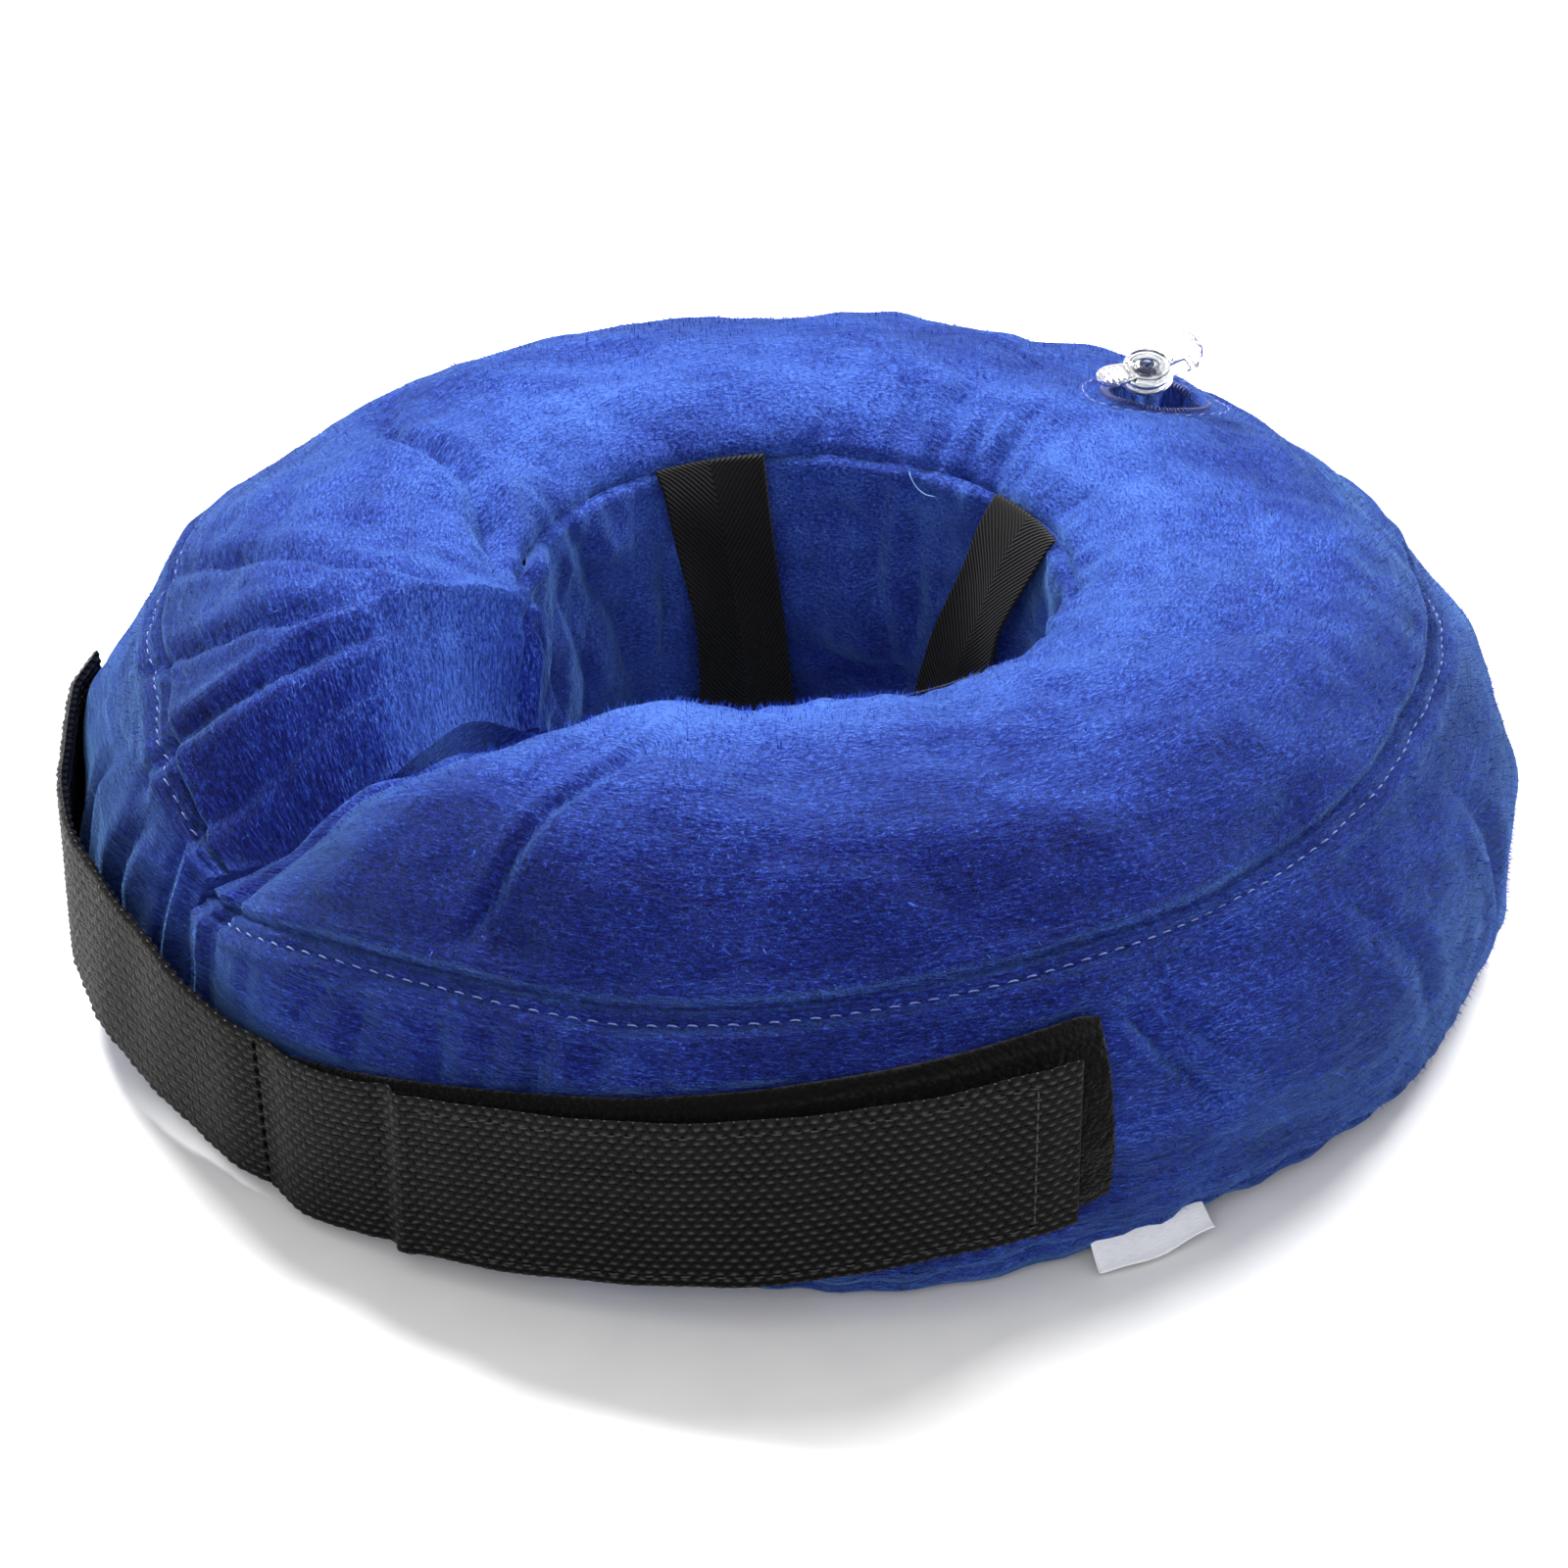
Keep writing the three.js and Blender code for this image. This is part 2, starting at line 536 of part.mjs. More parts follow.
// ---- The inflation valve ----
function makeValve() {
  const flangeTop = -FLANGE_DEPTH;
  addPart(
    "valve_flange",
    ring(FLANGE_INNER, FLANGE_OUTER, flangeTop - FLANGE_THICKNESS, flangeTop),
    clearVinyl,
    leaning,
  );
  const outer = SLOT_HALF.map((half) => half - BINDING_GAP);
  const inner = outer.map((half) => half - BINDING_WIDTH);
  const binding = ovalBlock(outer, -COVER_THICKNESS, 0.8, [ellipse(...inner)]);
  addPart("buttonhole_binding", binding, blueThread, valve);

  const stem = lathe([
    [STEM_BORE, STEM_BOTTOM],
    [STEM_FOOT, STEM_BOTTOM],
    [STEM_OUTER, STEM_BOTTOM + 5],
    [STEM_OUTER, STEM_TOP - RIM_THICKNESS],
    [RIM_RADIUS, STEM_TOP - RIM_THICKNESS],
    [RIM_RADIUS, STEM_TOP],
    [STEM_BORE, STEM_TOP],
    [STEM_BORE, STEM_BOTTOM],
  ]);
  addPart("valve_stem", stem, clearVinyl, leaning);
  const flapTop = STEM_BOTTOM - CLEARANCE;
  const flap = lathe([
    [0, flapTop - 0.6],
    [STEM_FOOT, flapTop - 0.6],
    [STEM_FOOT, flapTop],
    [0, flapTop],
  ]);
  addPart("check_flap", flap, clearVinyl, leaning);

  const armEnd = TETHER_HINGE_X - TETHER_THICKNESS / 2 - CLEARANCE;
  const halfWidth = TETHER_WIDTH / 2;
  const armAngle = Math.asin(halfWidth / COLLAR_OUTER);
  const collarOutline = new THREE.EllipseCurve(
    0, 0, COLLAR_OUTER, COLLAR_OUTER, armAngle, 2 * Math.PI - armAngle,
  ).getPoints(ROUND_SEGMENTS).map((p) => [p.x, p.y]);
  const stemHole = ellipse(STEM_OUTER + CLEARANCE, STEM_OUTER + CLEARANCE);
  const collarRing = extrude(
    [...collarOutline, [armEnd, -halfWidth], [armEnd, halfWidth]],
    COLLAR_THICKNESS,
    [stemHole],
  ).translate(0, 0, TETHER_HINGE_Z - COLLAR_THICKNESS / 2);
  addPart("tether_collar", collarRing, clearVinyl, leaning);
  makeStopper();
}

function makeStopper() {
  const seat = STEM_TOP + CLEARANCE;
  const top = seat + STOPPER_THICKNESS;
  const plug = lathe([
    [0, seat - PLUG_LENGTH],
    [PLUG_FOOT, seat - PLUG_LENGTH],
    [PLUG_TOP, seat],
    [STOPPER_FLANGE, seat],
    [STOPPER_FLANGE, top],
    [0, top],
  ]);
  const finger = new THREE.EllipseCurve(
    THUMB_TAB_HALF_WIDTH - THUMB_TAB_REACH, 0,
    THUMB_TAB_HALF_WIDTH, THUMB_TAB_HALF_WIDTH,
    Math.PI / 2, 1.5 * Math.PI,
  ).getPoints(12).map((p) => [p.x, p.y]);
  const tab = extrude([...finger, [-3, -2.5], [-3, 2.5]], STOPPER_THICKNESS).translate(0, 0, seat);
  const half = TETHER_THICKNESS / 2;
  const tether = extrude(strip(splinePoints(TETHER_LINE, 14), -half, half), TETHER_WIDTH)
    .rotateX(Math.PI / 2)
    .translate(0, TETHER_WIDTH / 2, 0);
  const recess = ring(0, 1.5, top - 3, top + 1);
  addPart("stopper", cut(join(plug, tab, tether), recess), clearVinyl, leaning);
}

// ---- The whole collar ----
for (const side of Object.keys(HALVES)) {
  makeCover(side);
  makeBladder(side);
}
makeNeckLoops();
makeStrap();
makeCareLabel();
makeZip();
makeValve();

export default collar;
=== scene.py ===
"""Looks of an inflatable plush recovery collar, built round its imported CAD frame."""
import json
import math

import bpy
import numpy as np
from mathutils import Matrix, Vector

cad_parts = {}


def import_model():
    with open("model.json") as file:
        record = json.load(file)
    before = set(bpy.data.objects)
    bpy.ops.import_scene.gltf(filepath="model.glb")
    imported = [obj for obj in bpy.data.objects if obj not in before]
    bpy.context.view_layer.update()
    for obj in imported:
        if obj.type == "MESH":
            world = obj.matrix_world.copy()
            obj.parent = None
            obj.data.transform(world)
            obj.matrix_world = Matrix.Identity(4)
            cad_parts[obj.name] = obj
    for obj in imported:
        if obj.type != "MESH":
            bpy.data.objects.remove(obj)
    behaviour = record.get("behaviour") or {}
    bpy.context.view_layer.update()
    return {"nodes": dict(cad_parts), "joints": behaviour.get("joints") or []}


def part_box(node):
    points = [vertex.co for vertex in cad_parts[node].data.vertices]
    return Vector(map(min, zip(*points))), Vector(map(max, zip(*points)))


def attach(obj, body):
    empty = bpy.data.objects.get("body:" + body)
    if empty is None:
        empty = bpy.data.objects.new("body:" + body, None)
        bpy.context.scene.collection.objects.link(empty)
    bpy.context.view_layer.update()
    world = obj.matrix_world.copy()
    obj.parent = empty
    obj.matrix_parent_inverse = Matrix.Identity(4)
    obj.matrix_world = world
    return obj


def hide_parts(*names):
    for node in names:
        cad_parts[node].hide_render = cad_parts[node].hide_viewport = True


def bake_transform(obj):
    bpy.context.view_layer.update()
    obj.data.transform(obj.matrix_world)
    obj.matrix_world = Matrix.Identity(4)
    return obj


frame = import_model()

RNG = np.random.default_rng(11)
D = math.pi / 180

# ---- Sizes, in millimetres and degrees round +Z from +X. The ring runs from FIRST to LAST. ----
TUBE = 105.0
SPLIT = 278.0
HALF_GAP = 0.32
FIRST, LAST = SPLIT - 360 + HALF_GAP, SPLIT - HALF_GAP
# Each end of the ring sinks over END_LENGTH, its top by END_SINK, and draws in by END_DRAW of its breadth.
END_LENGTH = 24.0
END_SINK = 27.0
END_DRAW = 0.07

SECTION = [
    (58, 78), (77, 88), (96, 89.5), (116, 85.5), (133, 74),
    (146, 57), (152, 47), (155, 33), (154, 18), (151.5, 7),
    (146, 1.6), (132, 0.2), (105, 0), (85, 0.3), (71, 2), (60, 8), (54.6, 25), (54.6, 60),
]
SEAM_POINTS = {"rim": 0, "upper": 5, "lower": 9, "inner": 15}
# How far the upper seam sits along the section from its mean place, by angle.
SEAM_DRIFT = [
    (-83, 8), (-77, 7), (-65, 2), (-55, 0), (-41, 0), (-30, -2.5), (-19, -5.4), (-4, -8.8),
    (13, -11), (26, -13.5), (40, -16), (200, -16), (257, -14), (266, -9), (279, -3),
]


# ---- Meshes ----
def make_object(name, points, faces, material, uv=None, smooth=True):
    """A mesh object from points in millimetres. uv is one pair in metres for each point."""
    mesh = bpy.data.meshes.new(name)
    points = np.asarray(points, float) * 0.001
    mesh.from_pydata(points.tolist(), [], [list(map(int, f)) for f in faces])
    if uv is not None:
        corner = np.zeros(len(mesh.loops), np.int32)
        mesh.loops.foreach_get("vertex_index", corner)
        layer = mesh.uv_layers.new(name="UVMap")
        layer.data.foreach_set("uv", np.asarray(uv, np.float32)[corner].ravel())
    mesh.polygons.foreach_set("use_smooth", [smooth] * len(mesh.polygons))
    mesh.validate()
    made = bpy.data.objects.new(name, mesh)
    bpy.context.scene.collection.objects.link(made)
    made.data.materials.append(material)
    return made


def give_material(name, material):
    """A better material for a CAD node that stays."""
    slots = frame["nodes"][name].data.materials
    slots.clear()
    slots.append(material)


def grid_faces(rows, columns, closed_rows=False, closed_columns=False):
    """Quads of a grid whose points are row by row."""
    i = np.arange(rows if closed_rows else rows - 1)
    j = np.arange(columns if closed_columns else columns - 1)
    i, j = [x.ravel() for x in np.meshgrid(i, j, indexing="ij")]
    i2, j2 = (i + 1) % rows, (j + 1) % columns
    return np.stack([i * columns + j, i * columns + j2, i2 * columns + j2, i2 * columns + j], 1)


def smooth_step(x):
    x = np.clip(x, 0, 1)
    return x * x * (3 - 2 * x)


def polar(r, angle, z):
    turn = np.asarray(angle) * D
    return np.stack([r * np.cos(turn), r * np.sin(turn), z + 0 * turn], -1)


def outward(angle):
    return polar(np.ones_like(angle), angle, 0 * angle)


def bell(x, middle, width):
    return np.exp(-(((x - middle) / width) ** 2))


def lengths_along(line):
    """The distance along a line at each of its points."""
    return np.concatenate([[0], np.cumsum(np.linalg.norm(np.diff(line, axis=0), axis=1))])


def eased(at, t, values, reach):
    """A line's values at distances along it, averaged over a short reach."""
    return sum(np.interp(np.clip(at + reach * k, 0, t[-1]), t, values) for k in (-1, -0.5, 0, 0.5, 1)) / 5


# ---- The cover's section, by distance along it ----
def closed_spline(points, steps):
    """A centripetal Catmull-Rom loop, and the index at which each of the points comes."""
    p = np.array(points, float)
    n, made = len(p), []
    for k in range(n):
        a, b, c, d = p[k - 1], p[k], p[(k + 1) % n], p[(k + 2) % n]
        t0 = 0.0
        t1 = t0 + np.linalg.norm(b - a) ** 0.5
        t2 = t1 + np.linalg.norm(c - b) ** 0.5
        t3 = t2 + np.linalg.norm(d - c) ** 0.5
        t = np.linspace(t1, t2, steps, endpoint=False)[:, None]
        a1 = (t1 - t) / (t1 - t0) * a + (t - t0) / (t1 - t0) * b
        a2 = (t2 - t) / (t2 - t1) * b + (t - t1) / (t2 - t1) * c
        a3 = (t3 - t) / (t3 - t2) * c + (t - t2) / (t3 - t2) * d
        b1 = (t2 - t) / (t2 - t0) * a1 + (t - t0) / (t2 - t0) * a2
        b2 = (t3 - t) / (t3 - t1) * a2 + (t - t1) / (t3 - t1) * a3
        made.append((t2 - t) / (t2 - t1) * b1 + (t - t1) / (t2 - t1) * b2)
    return np.concatenate(made), np.arange(n) * steps


LOOP, MARKS = closed_spline(SECTION, 40)
LOOP[:, 1] = np.maximum(LOOP[:, 1], 0)
ALONG = lengths_along(np.vstack([LOOP, LOOP[:1]]))
PERIMETER = ALONG[-1]
SEAMS = {name: ALONG[MARKS[k]] for name, k in SEAM_POINTS.items()}
TANGENT = np.roll(LOOP, -1, 0) - np.roll(LOOP, 1, 0)
TANGENT /= np.linalg.norm(TANGENT, axis=1)[:, None]
NORMAL = np.stack([-TANGENT[:, 1], TANGENT[:, 0]], 1)


def at_distance(s, table):
    s = np.mod(s, PERIMETER)
    wrapped = np.vstack([table, table[:1]])
    return np.stack([np.interp(s, ALONG, wrapped[:, k]) for k in range(2)], -1)


def distance_at(region, value):
    """The distance along the section of a radius on the top or bottom, or of a height on a wall."""
    low, high = {
        "top": (SEAMS["rim"], SEAMS["upper"]),
        "outer": (SEAMS["upper"], SEAMS["lower"]),
        "bottom": (SEAMS["lower"], SEAMS["inner"]),
        "neck": (SEAMS["inner"], PERIMETER),
    }[region]
    s = np.linspace(low - 20, high + 20, 600)
    values = at_distance(s, LOOP)[:, 0 if region in ("top", "bottom") else 1]
    inside = (s >= low - (6 if region == "top" else 0)) & (s <= high + 4)
    return s[inside][np.abs(values[inside] - value).argmin()]


def drift(angle):
    table = np.array(SEAM_DRIFT, float)
    return np.interp(angle, table[:, 0], table[:, 1]) - 4


# ---- Folds: each is a line of (angle, radius or height), a depth and a width ----
FOLDS = [
    ("top", [(-43.5, 78), (-44.9, 90), (-48, 104), (-51.4, 118), (-54.6, 140)], 1.9, 1.9),
    ("top", [(-60, 66), (-63, 84), (-66, 108)], 1.6, 4),
    ("top", [(208, 112), (215.2, 100), (216.7, 89), (221.7, 76), (231.2, 67), (246, 62)], 4.6, 4),
    ("top", [(236, 138), (242, 122), (249, 104), (256, 88), (261, 74)], 3.4, 4),
    ("top", [(252, 140), (256, 126), (261, 108), (266, 90)], 3.0, 3.4),
    ("top", [(265.5, 146), (266.5, 124), (267.5, 100), (268.5, 76)], 3.6, 3),
    ("top", [(-8, 135), (-0.8, 130), (8, 125)], 1.1, 4.5),
    ("top", [(-1.7, 146), (8.9, 140), (22.5, 129)], 1.6, 5),
    ("top", [(-18, 118), (-14.3, 132), (-7.6, 128)], 0.9, 4),
    ("top", [(28, 92), (42, 104), (58, 108)], 1.0, 6),
    ("top", [(100, 59), (102, 74)], 1.6, 2.6),
    ("top", [(108, 60), (109, 80)], 1.9, 2.6),
    ("top", [(114, 60), (117, 76)], 1.6, 2.4),
    ("top", [(120, 60), (124, 84)], 2.0, 2.8),
    ("top", [(128, 60), (132, 78)], 1.6, 2.6),
    ("top", [(136, 60), (139, 72)], 1.3, 2.6),
    ("top", [(145, 60), (147, 70)], 1.0, 2.8),
    ("top", [(86, 59), (84, 70)], 1.1, 2.6),
    ("top", [(72, 59), (69, 68)], 1.0, 3),
    ("top", [(118, 92), (122, 108), (124, 124)], 1.1, 6),
    ("top", [(86, 96), (90, 112), (88, 128)], 1.3, 6),
    ("neck", [(213, 74), (199.4, 47), (193, 20)], 3.0, 3.4),
    ("neck", [(222, 66), (214, 40), (208, 18)], 2.2, 3.4),
    ("neck", [(199, 61), (190.4, 19)], 2.6, 3),
    ("neck", [(186, 60), (184.9, 45), (189, 19)], 2.8, 3),
    ("neck", [(147.7, 58), (147.6, 33)], 2.2, 2.6),
    ("neck", [(132.9, 70), (134.3, 50), (127.8, 24)], 3.0, 2.8),
    ("neck", [(125, 66), (123.5, 44), (124.4, 26)], 2.8, 2.8),
    ("neck", [(156, 33), (140, 27), (120, 25.5)], 2.2, 3.2),
    ("neck", [(236, 70), (232, 44), (236, 18)], 2.4, 3.2),
    ("neck", [(254, 66), (250, 40), (254, 16)], 2.6, 3.4),
    ("neck", [(268, 60), (266, 34), (268, 14)], 2.4, 3),
    ("neck", [(-70, 62), (-68, 38), (-72, 16)], 2.6, 3.4),
    ("neck", [(-52, 70), (-55, 44), (-50, 18)], 2.2, 3.2),
    ("neck", [(-33, 70), (-30, 44), (-34, 20)], 2.6, 3),
    ("neck", [(20, 70), (23, 40), (19, 16)], 2.4, 3.2),
    ("neck", [(40, 72), (37, 44), (42, 18)], 2.6, 3.2),
    ("neck", [(58, 70), (60, 40), (56, 18)], 2.2, 3),
    ("neck", [(72, 66), (70, 40), (74, 20)], 2.4, 3),
    ("outer", [(-5.3, 66), (-2.3, 55), (1.3, 43), (5, 32)], 3.2, 2.6),
    ("outer", [(-1, 60), (4, 46), (9, 37)], 1.8, 3),
    ("outer", [(20, 60), (26, 40), (28, 22)], 1.6, 4),
    ("outer", [(40, 62), (43, 40), (44, 18)], 2.4, 4),
    ("outer", [(62, 62), (60, 44), (64, 26)], 1.6, 4.5),
    ("outer", [(82, 62), (86, 40), (84, 20)], 1.8, 4.5),
    ("outer", [(104, 64), (101, 46), (105, 30)], 1.6, 4),
    ("outer", [(128, 62), (131, 46), (127, 34)], 1.6, 4.5),
    ("outer", [(150, 64), (147, 48), (152, 32)], 1.8, 4.5),
    ("outer", [(172, 62), (175, 46), (170, 32)], 1.6, 4),
    ("outer", [(192, 64), (190, 46), (195, 32)], 1.8, 4.5),
    ("outer", [(212, 64), (216, 44), (213, 24)], 1.8, 4),
    ("outer", [(236, 66), (239, 50), (236, 30)], 2.0, 4),
    ("outer", [(258, 66), (255, 50), (258, 26)], 2.4, 3.6),
    ("outer", [(268, 60), (266, 40), (268, 18)], 2.6, 3.6),
]
for angle in np.linspace(-71, -12, 13):
    angle = angle + RNG.uniform(-1.6, 1.6)
    lean = RNG.uniform(-3, 3)
    top_z = 51 + 6 * (angle + 74) / 62
    line = [(angle, top_z), (angle + lean, top_z - RNG.uniform(8, 17))]
    FOLDS.append(("outer", line, RNG.uniform(0.8, 2.0), RNG.uniform(2.6, 4.6)))


def prepare_fold(region, line, depth, width):
    """A fold's line as closely spaced (angle, distance along the section, share of its depth)."""
    angles = np.array([p[0] for p in line], float)
    places = np.array([distance_at(region, p[1]) for p in line])
    steps = np.hypot(np.diff(angles) * 1.8, np.diff(places))
    t = np.concatenate([[0], np.cumsum(steps)])
    n = max(6, int(t[-1] / (0.55 * width)) + 1)
    at = np.linspace(0, t[-1], n)
    a, s = np.interp(at, t, angles), np.interp(at, t, places)
    share = np.sin(np.pi * np.clip((at / t[-1]) * 0.9 + 0.05, 0, 1)) ** 0.7
    return a, s, depth * share, width


PREPARED = [prepare_fold(*fold) for fold in FOLDS]


def random_waves(count, lengths, heights):
    """Waves as (wave number, direction, phase, height)."""
    turn = 0, 2 * np.pi
    return [
        (2 * np.pi / RNG.uniform(*lengths), RNG.uniform(*turn), RNG.uniform(*turn), RNG.uniform(*heights))
        for _ in range(count)
    ]


WAVES = random_waves(26, (26, 75), (0.12, 0.34)) + random_waves(22, (9, 17), (0.03, 0.08))


def fold_height(angle, s, radius):
    height = np.zeros_like(angle)
    for a, along, depth, width in PREPARED:
        reach = 4 * width
        near = (angle > a.min() - 9) & (angle < a.max() + 9)
        off = np.mod(s - along.min() + 30, PERIMETER) - 30
        near &= (off > -reach) & (off < along.max() - along.min() + reach)
        if not near.any():
            continue
        dx = (angle[near][:, None] - a) * D * radius[near][:, None]
        ds = np.mod(s[near][:, None] - along + PERIMETER / 2, PERIMETER) - PERIMETER / 2
        distance = np.sqrt(dx * dx + ds * ds)
        k = distance.argmin(1)
        d = distance[np.arange(len(k)), k] / width
        height[near] += depth[k] * (0.28 * np.exp(-((d - 1.7) ** 2) / 0.8) - np.exp(-1.25 * d ** 1.35))
    return height


def wave_height(angle, s):
    x = angle * D * TUBE
    height = np.zeros_like(angle)
    for k, direction, phase, size in WAVES:
        height += size * np.sin(k * (x * math.cos(direction) + s * math.sin(direction)) + phase)
    return height


BINDING_LOW, BINDING_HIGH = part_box("buttonhole_binding")
HOLE = (BINDING_LOW + BINDING_HIGH) * 500  # the middle, from metres to millimetres
HOLE_AXIS = 85.0
HOLE_HALF = (10.8, 7.9)
WEAVE_ALONG = 2.7
WEAVE_ACROSS = 38 / 24
ZIP_SPAN = (118.5, 201.5)
ZIP_Z = 16.0


def hole_share(points):
    """How far out points lie from the middle of the button-hole, 1 at its edge."""
    dx, dy = points[..., 0] - HOLE.x, points[..., 1] - HOLE.y
    c, s = math.cos(HOLE_AXIS * D), math.sin(HOLE_AXIS * D)
    return np.hypot((dx * c + dy * s) / HOLE_HALF[0], (dy * c - dx * s) / HOLE_HALF[1])


def end_share(angle, radius):
    """0 at an end of the ring and 1 past its slope, which is longer on the right half towards the neck."""
    length = END_LENGTH + np.where(angle < 90, 36 * smooth_step((150 - radius) / 66), 0)
    away = np.minimum(angle - FIRST, LAST - angle) * D * TUBE
    return np.sin(np.pi / 2 * np.clip(away / length, 0, 1)) ** 1.2


def split_shift(radius, angle):
    """The split bends towards the left half near the neck, and takes the cover on either side with it."""
    away = np.minimum(angle - FIRST, LAST - angle) * D * TUBE
    return -13.0 * smooth_step((102 - radius) / 44) * bell(np.maximum(away, 0), 0, 34)


# The loop patch's lower and upper edge by angle, and the radius it keeps to by height.
PATCH_EDGES = np.array([
    (285, 9, 34), (289, 8, 34.5), (309, 8.5, 43), (330, 12, 50), (343.6, 15.5, 53.8), (355, 19, 57.5),
])
PATCH_LEVEL = [8, 18, 33, 47, 57], [150.4, 154.0, 155.9, 153.0, 146.8]
TAPE_ANGLES = (172, 91, 0)


def surface(angle, s, lift=0.0):
    """Points of the cover's outside at ring angles and distances along the section."""
    angle, s = np.broadcast_arrays(np.asarray(angle, float), np.asarray(s, float))
    flat_angle, flat_s = angle.ravel(), s.ravel()
    place, normal = at_distance(flat_s, LOOP), at_distance(flat_s, NORMAL)
    normal /= np.linalg.norm(normal, axis=1)[:, None]
    sunk = 1 - end_share(flat_angle, place[:, 0])
    height = fold_height(flat_angle, flat_s, place[:, 0]) + wave_height(flat_angle, flat_s)
    upper = SEAMS["upper"] + drift(flat_angle)

    def seam(at, groove, width, ridge=0.0, ridge_at=0.0, ridge_width=1.0):
        off = np.mod(flat_s - at + PERIMETER / 2, PERIMETER) - PERIMETER / 2
        return ridge * bell(off, ridge_at, ridge_width) - groove * bell(off, 0, width)

    def gathers(radius, length, sway, turns):
        turn = flat_angle * D
        return np.sin(turn * radius * 2 * np.pi / length + sway * np.sin(turn * turns))

    height += seam(upper, 1.7, 1.3, 0.7, -2.6, 1.8) + seam(upper + 3.6, 0.9, 1.1, 0.9, 2.8, 1.8)
    height += seam(SEAMS["rim"], 1.3, 1.6, 0.6, -2.6, 1.8)
    height += seam(SEAMS["lower"], 1.4, 1.6) + seam(SEAMS["inner"], 1.3, 1.6)
    # Gathers at the rim of the neck, and along the lower seam.
    off_rim = np.abs(np.mod(flat_s - SEAMS["rim"] + PERIMETER / 2, PERIMETER) - PERIMETER / 2)
    gather = gathers(58, 8.5, 1.3, 7) * np.exp(-off_rim / 8)
    calm = sum(np.exp(-(((flat_angle - at) / 16) ** 6)) for at in TAPE_ANGLES)
    height += 0.5 * gather * (1 - calm)
    off_low = np.abs(flat_s - SEAMS["lower"])
    height += 0.5 * gathers(150, 13, 1.7, 11) * np.exp(-off_low / 9)
    sag = smooth_step((flat_angle + 54) / 12) * smooth_step((-6 - flat_angle) / 14)
    height += 3.4 * sag * bell(off_low, 0, 7)
    # The bottom lies flat.
    on_floor = smooth_step((flat_s - SEAMS["lower"] - 9) / 10)
    on_floor = on_floor * smooth_step((SEAMS["inner"] - 6 - flat_s) / 10)
    height = height * (1 - on_floor) + np.minimum(height, 0) * 0.35 * on_floor
    # The edge of each end panel is rolled.
    away = np.minimum(flat_angle - FIRST, LAST - flat_angle) * D * place[:, 0]
    height += 1.6 * bell(away, 6, 2.4) - 1.2 * bell(away, 10.5, 1.5)
    out = height + lift
    radius = TUBE + (place[:, 0] - TUBE) * (1 - END_DRAW * sunk) + normal[:, 0] * out
    z = place[:, 1] - END_SINK * sunk * smooth_step((place[:, 1] - 46) / 40) + normal[:, 1] * out
    neckward = smooth_step((108 - place[:, 0]) / 44) * smooth_step((place[:, 1] - 40) / 36)
    z = z - 10.5 * neckward * bell(flat_angle, -76, 28)
    # The zip's channel in the outer band; on either side of it the band keeps to a plain curve.
    if lift == 0.0:
        beside = (smooth_step((flat_angle - ZIP_SPAN[0] + 5) / 4)
                  * smooth_step((ZIP_SPAN[1] + 5 - flat_angle) / 4)
                  * smooth_step((14 - np.abs(z - ZIP_Z)) / 6) * (place[:, 0] > 140))
        radius = radius + beside * (np.interp(z, [5, 16, 25], [150.6, 152.6, 154.0]) - radius)
        in_slot = (smooth_step(flat_angle - ZIP_SPAN[0]) * smooth_step(ZIP_SPAN[1] - flat_angle)
                   * smooth_step((5.6 - np.abs(z - ZIP_Z)) / 1.2) * (place[:, 0] > 140))
        radius = radius + in_slot * (148.4 - radius)
        # Under the loop patch the band is held to a plain curve.
        low, high = [
            np.interp(flat_angle + 360, PATCH_EDGES[:, 0], PATCH_EDGES[:, k]) for k in (1, 2)
        ]
        under = (smooth_step((flat_angle + 77) / 1.5) * smooth_step((-3 - flat_angle) / 1.5)
                 * (place[:, 0] > 140)
                 * smooth_step((z - low + 3) / 3) * smooth_step((high + 2 - z) / 3))
        level = np.interp(z, PATCH_LEVEL[0], PATCH_LEVEL[1]) - 1.2
        radius = radius + under * (np.minimum(radius, level) - radius)
    points = polar(radius, flat_angle + split_shift(place[:, 0], flat_angle), np.maximum(z, 0.0))
    if lift == 0.0:
        q = hole_share(points)
        inside = smooth_step((1.02 - q) / 0.16) * (points[:, 2] > 60)
        lip = bell(q, 1.12, 0.1) * (points[:, 2] > 60)
        sag = smooth_step((1.9 - q) / 0.9) * (points[:, 2] > 60)
        points[:, 2] += 0.8 * lip - 9.5 * inside - 0.8 * sag
    return points.reshape(angle.shape + (3,))


def follow_ring(piece):
    """Bakes the piece's transform into its mesh."""
    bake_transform(piece)
    return piece


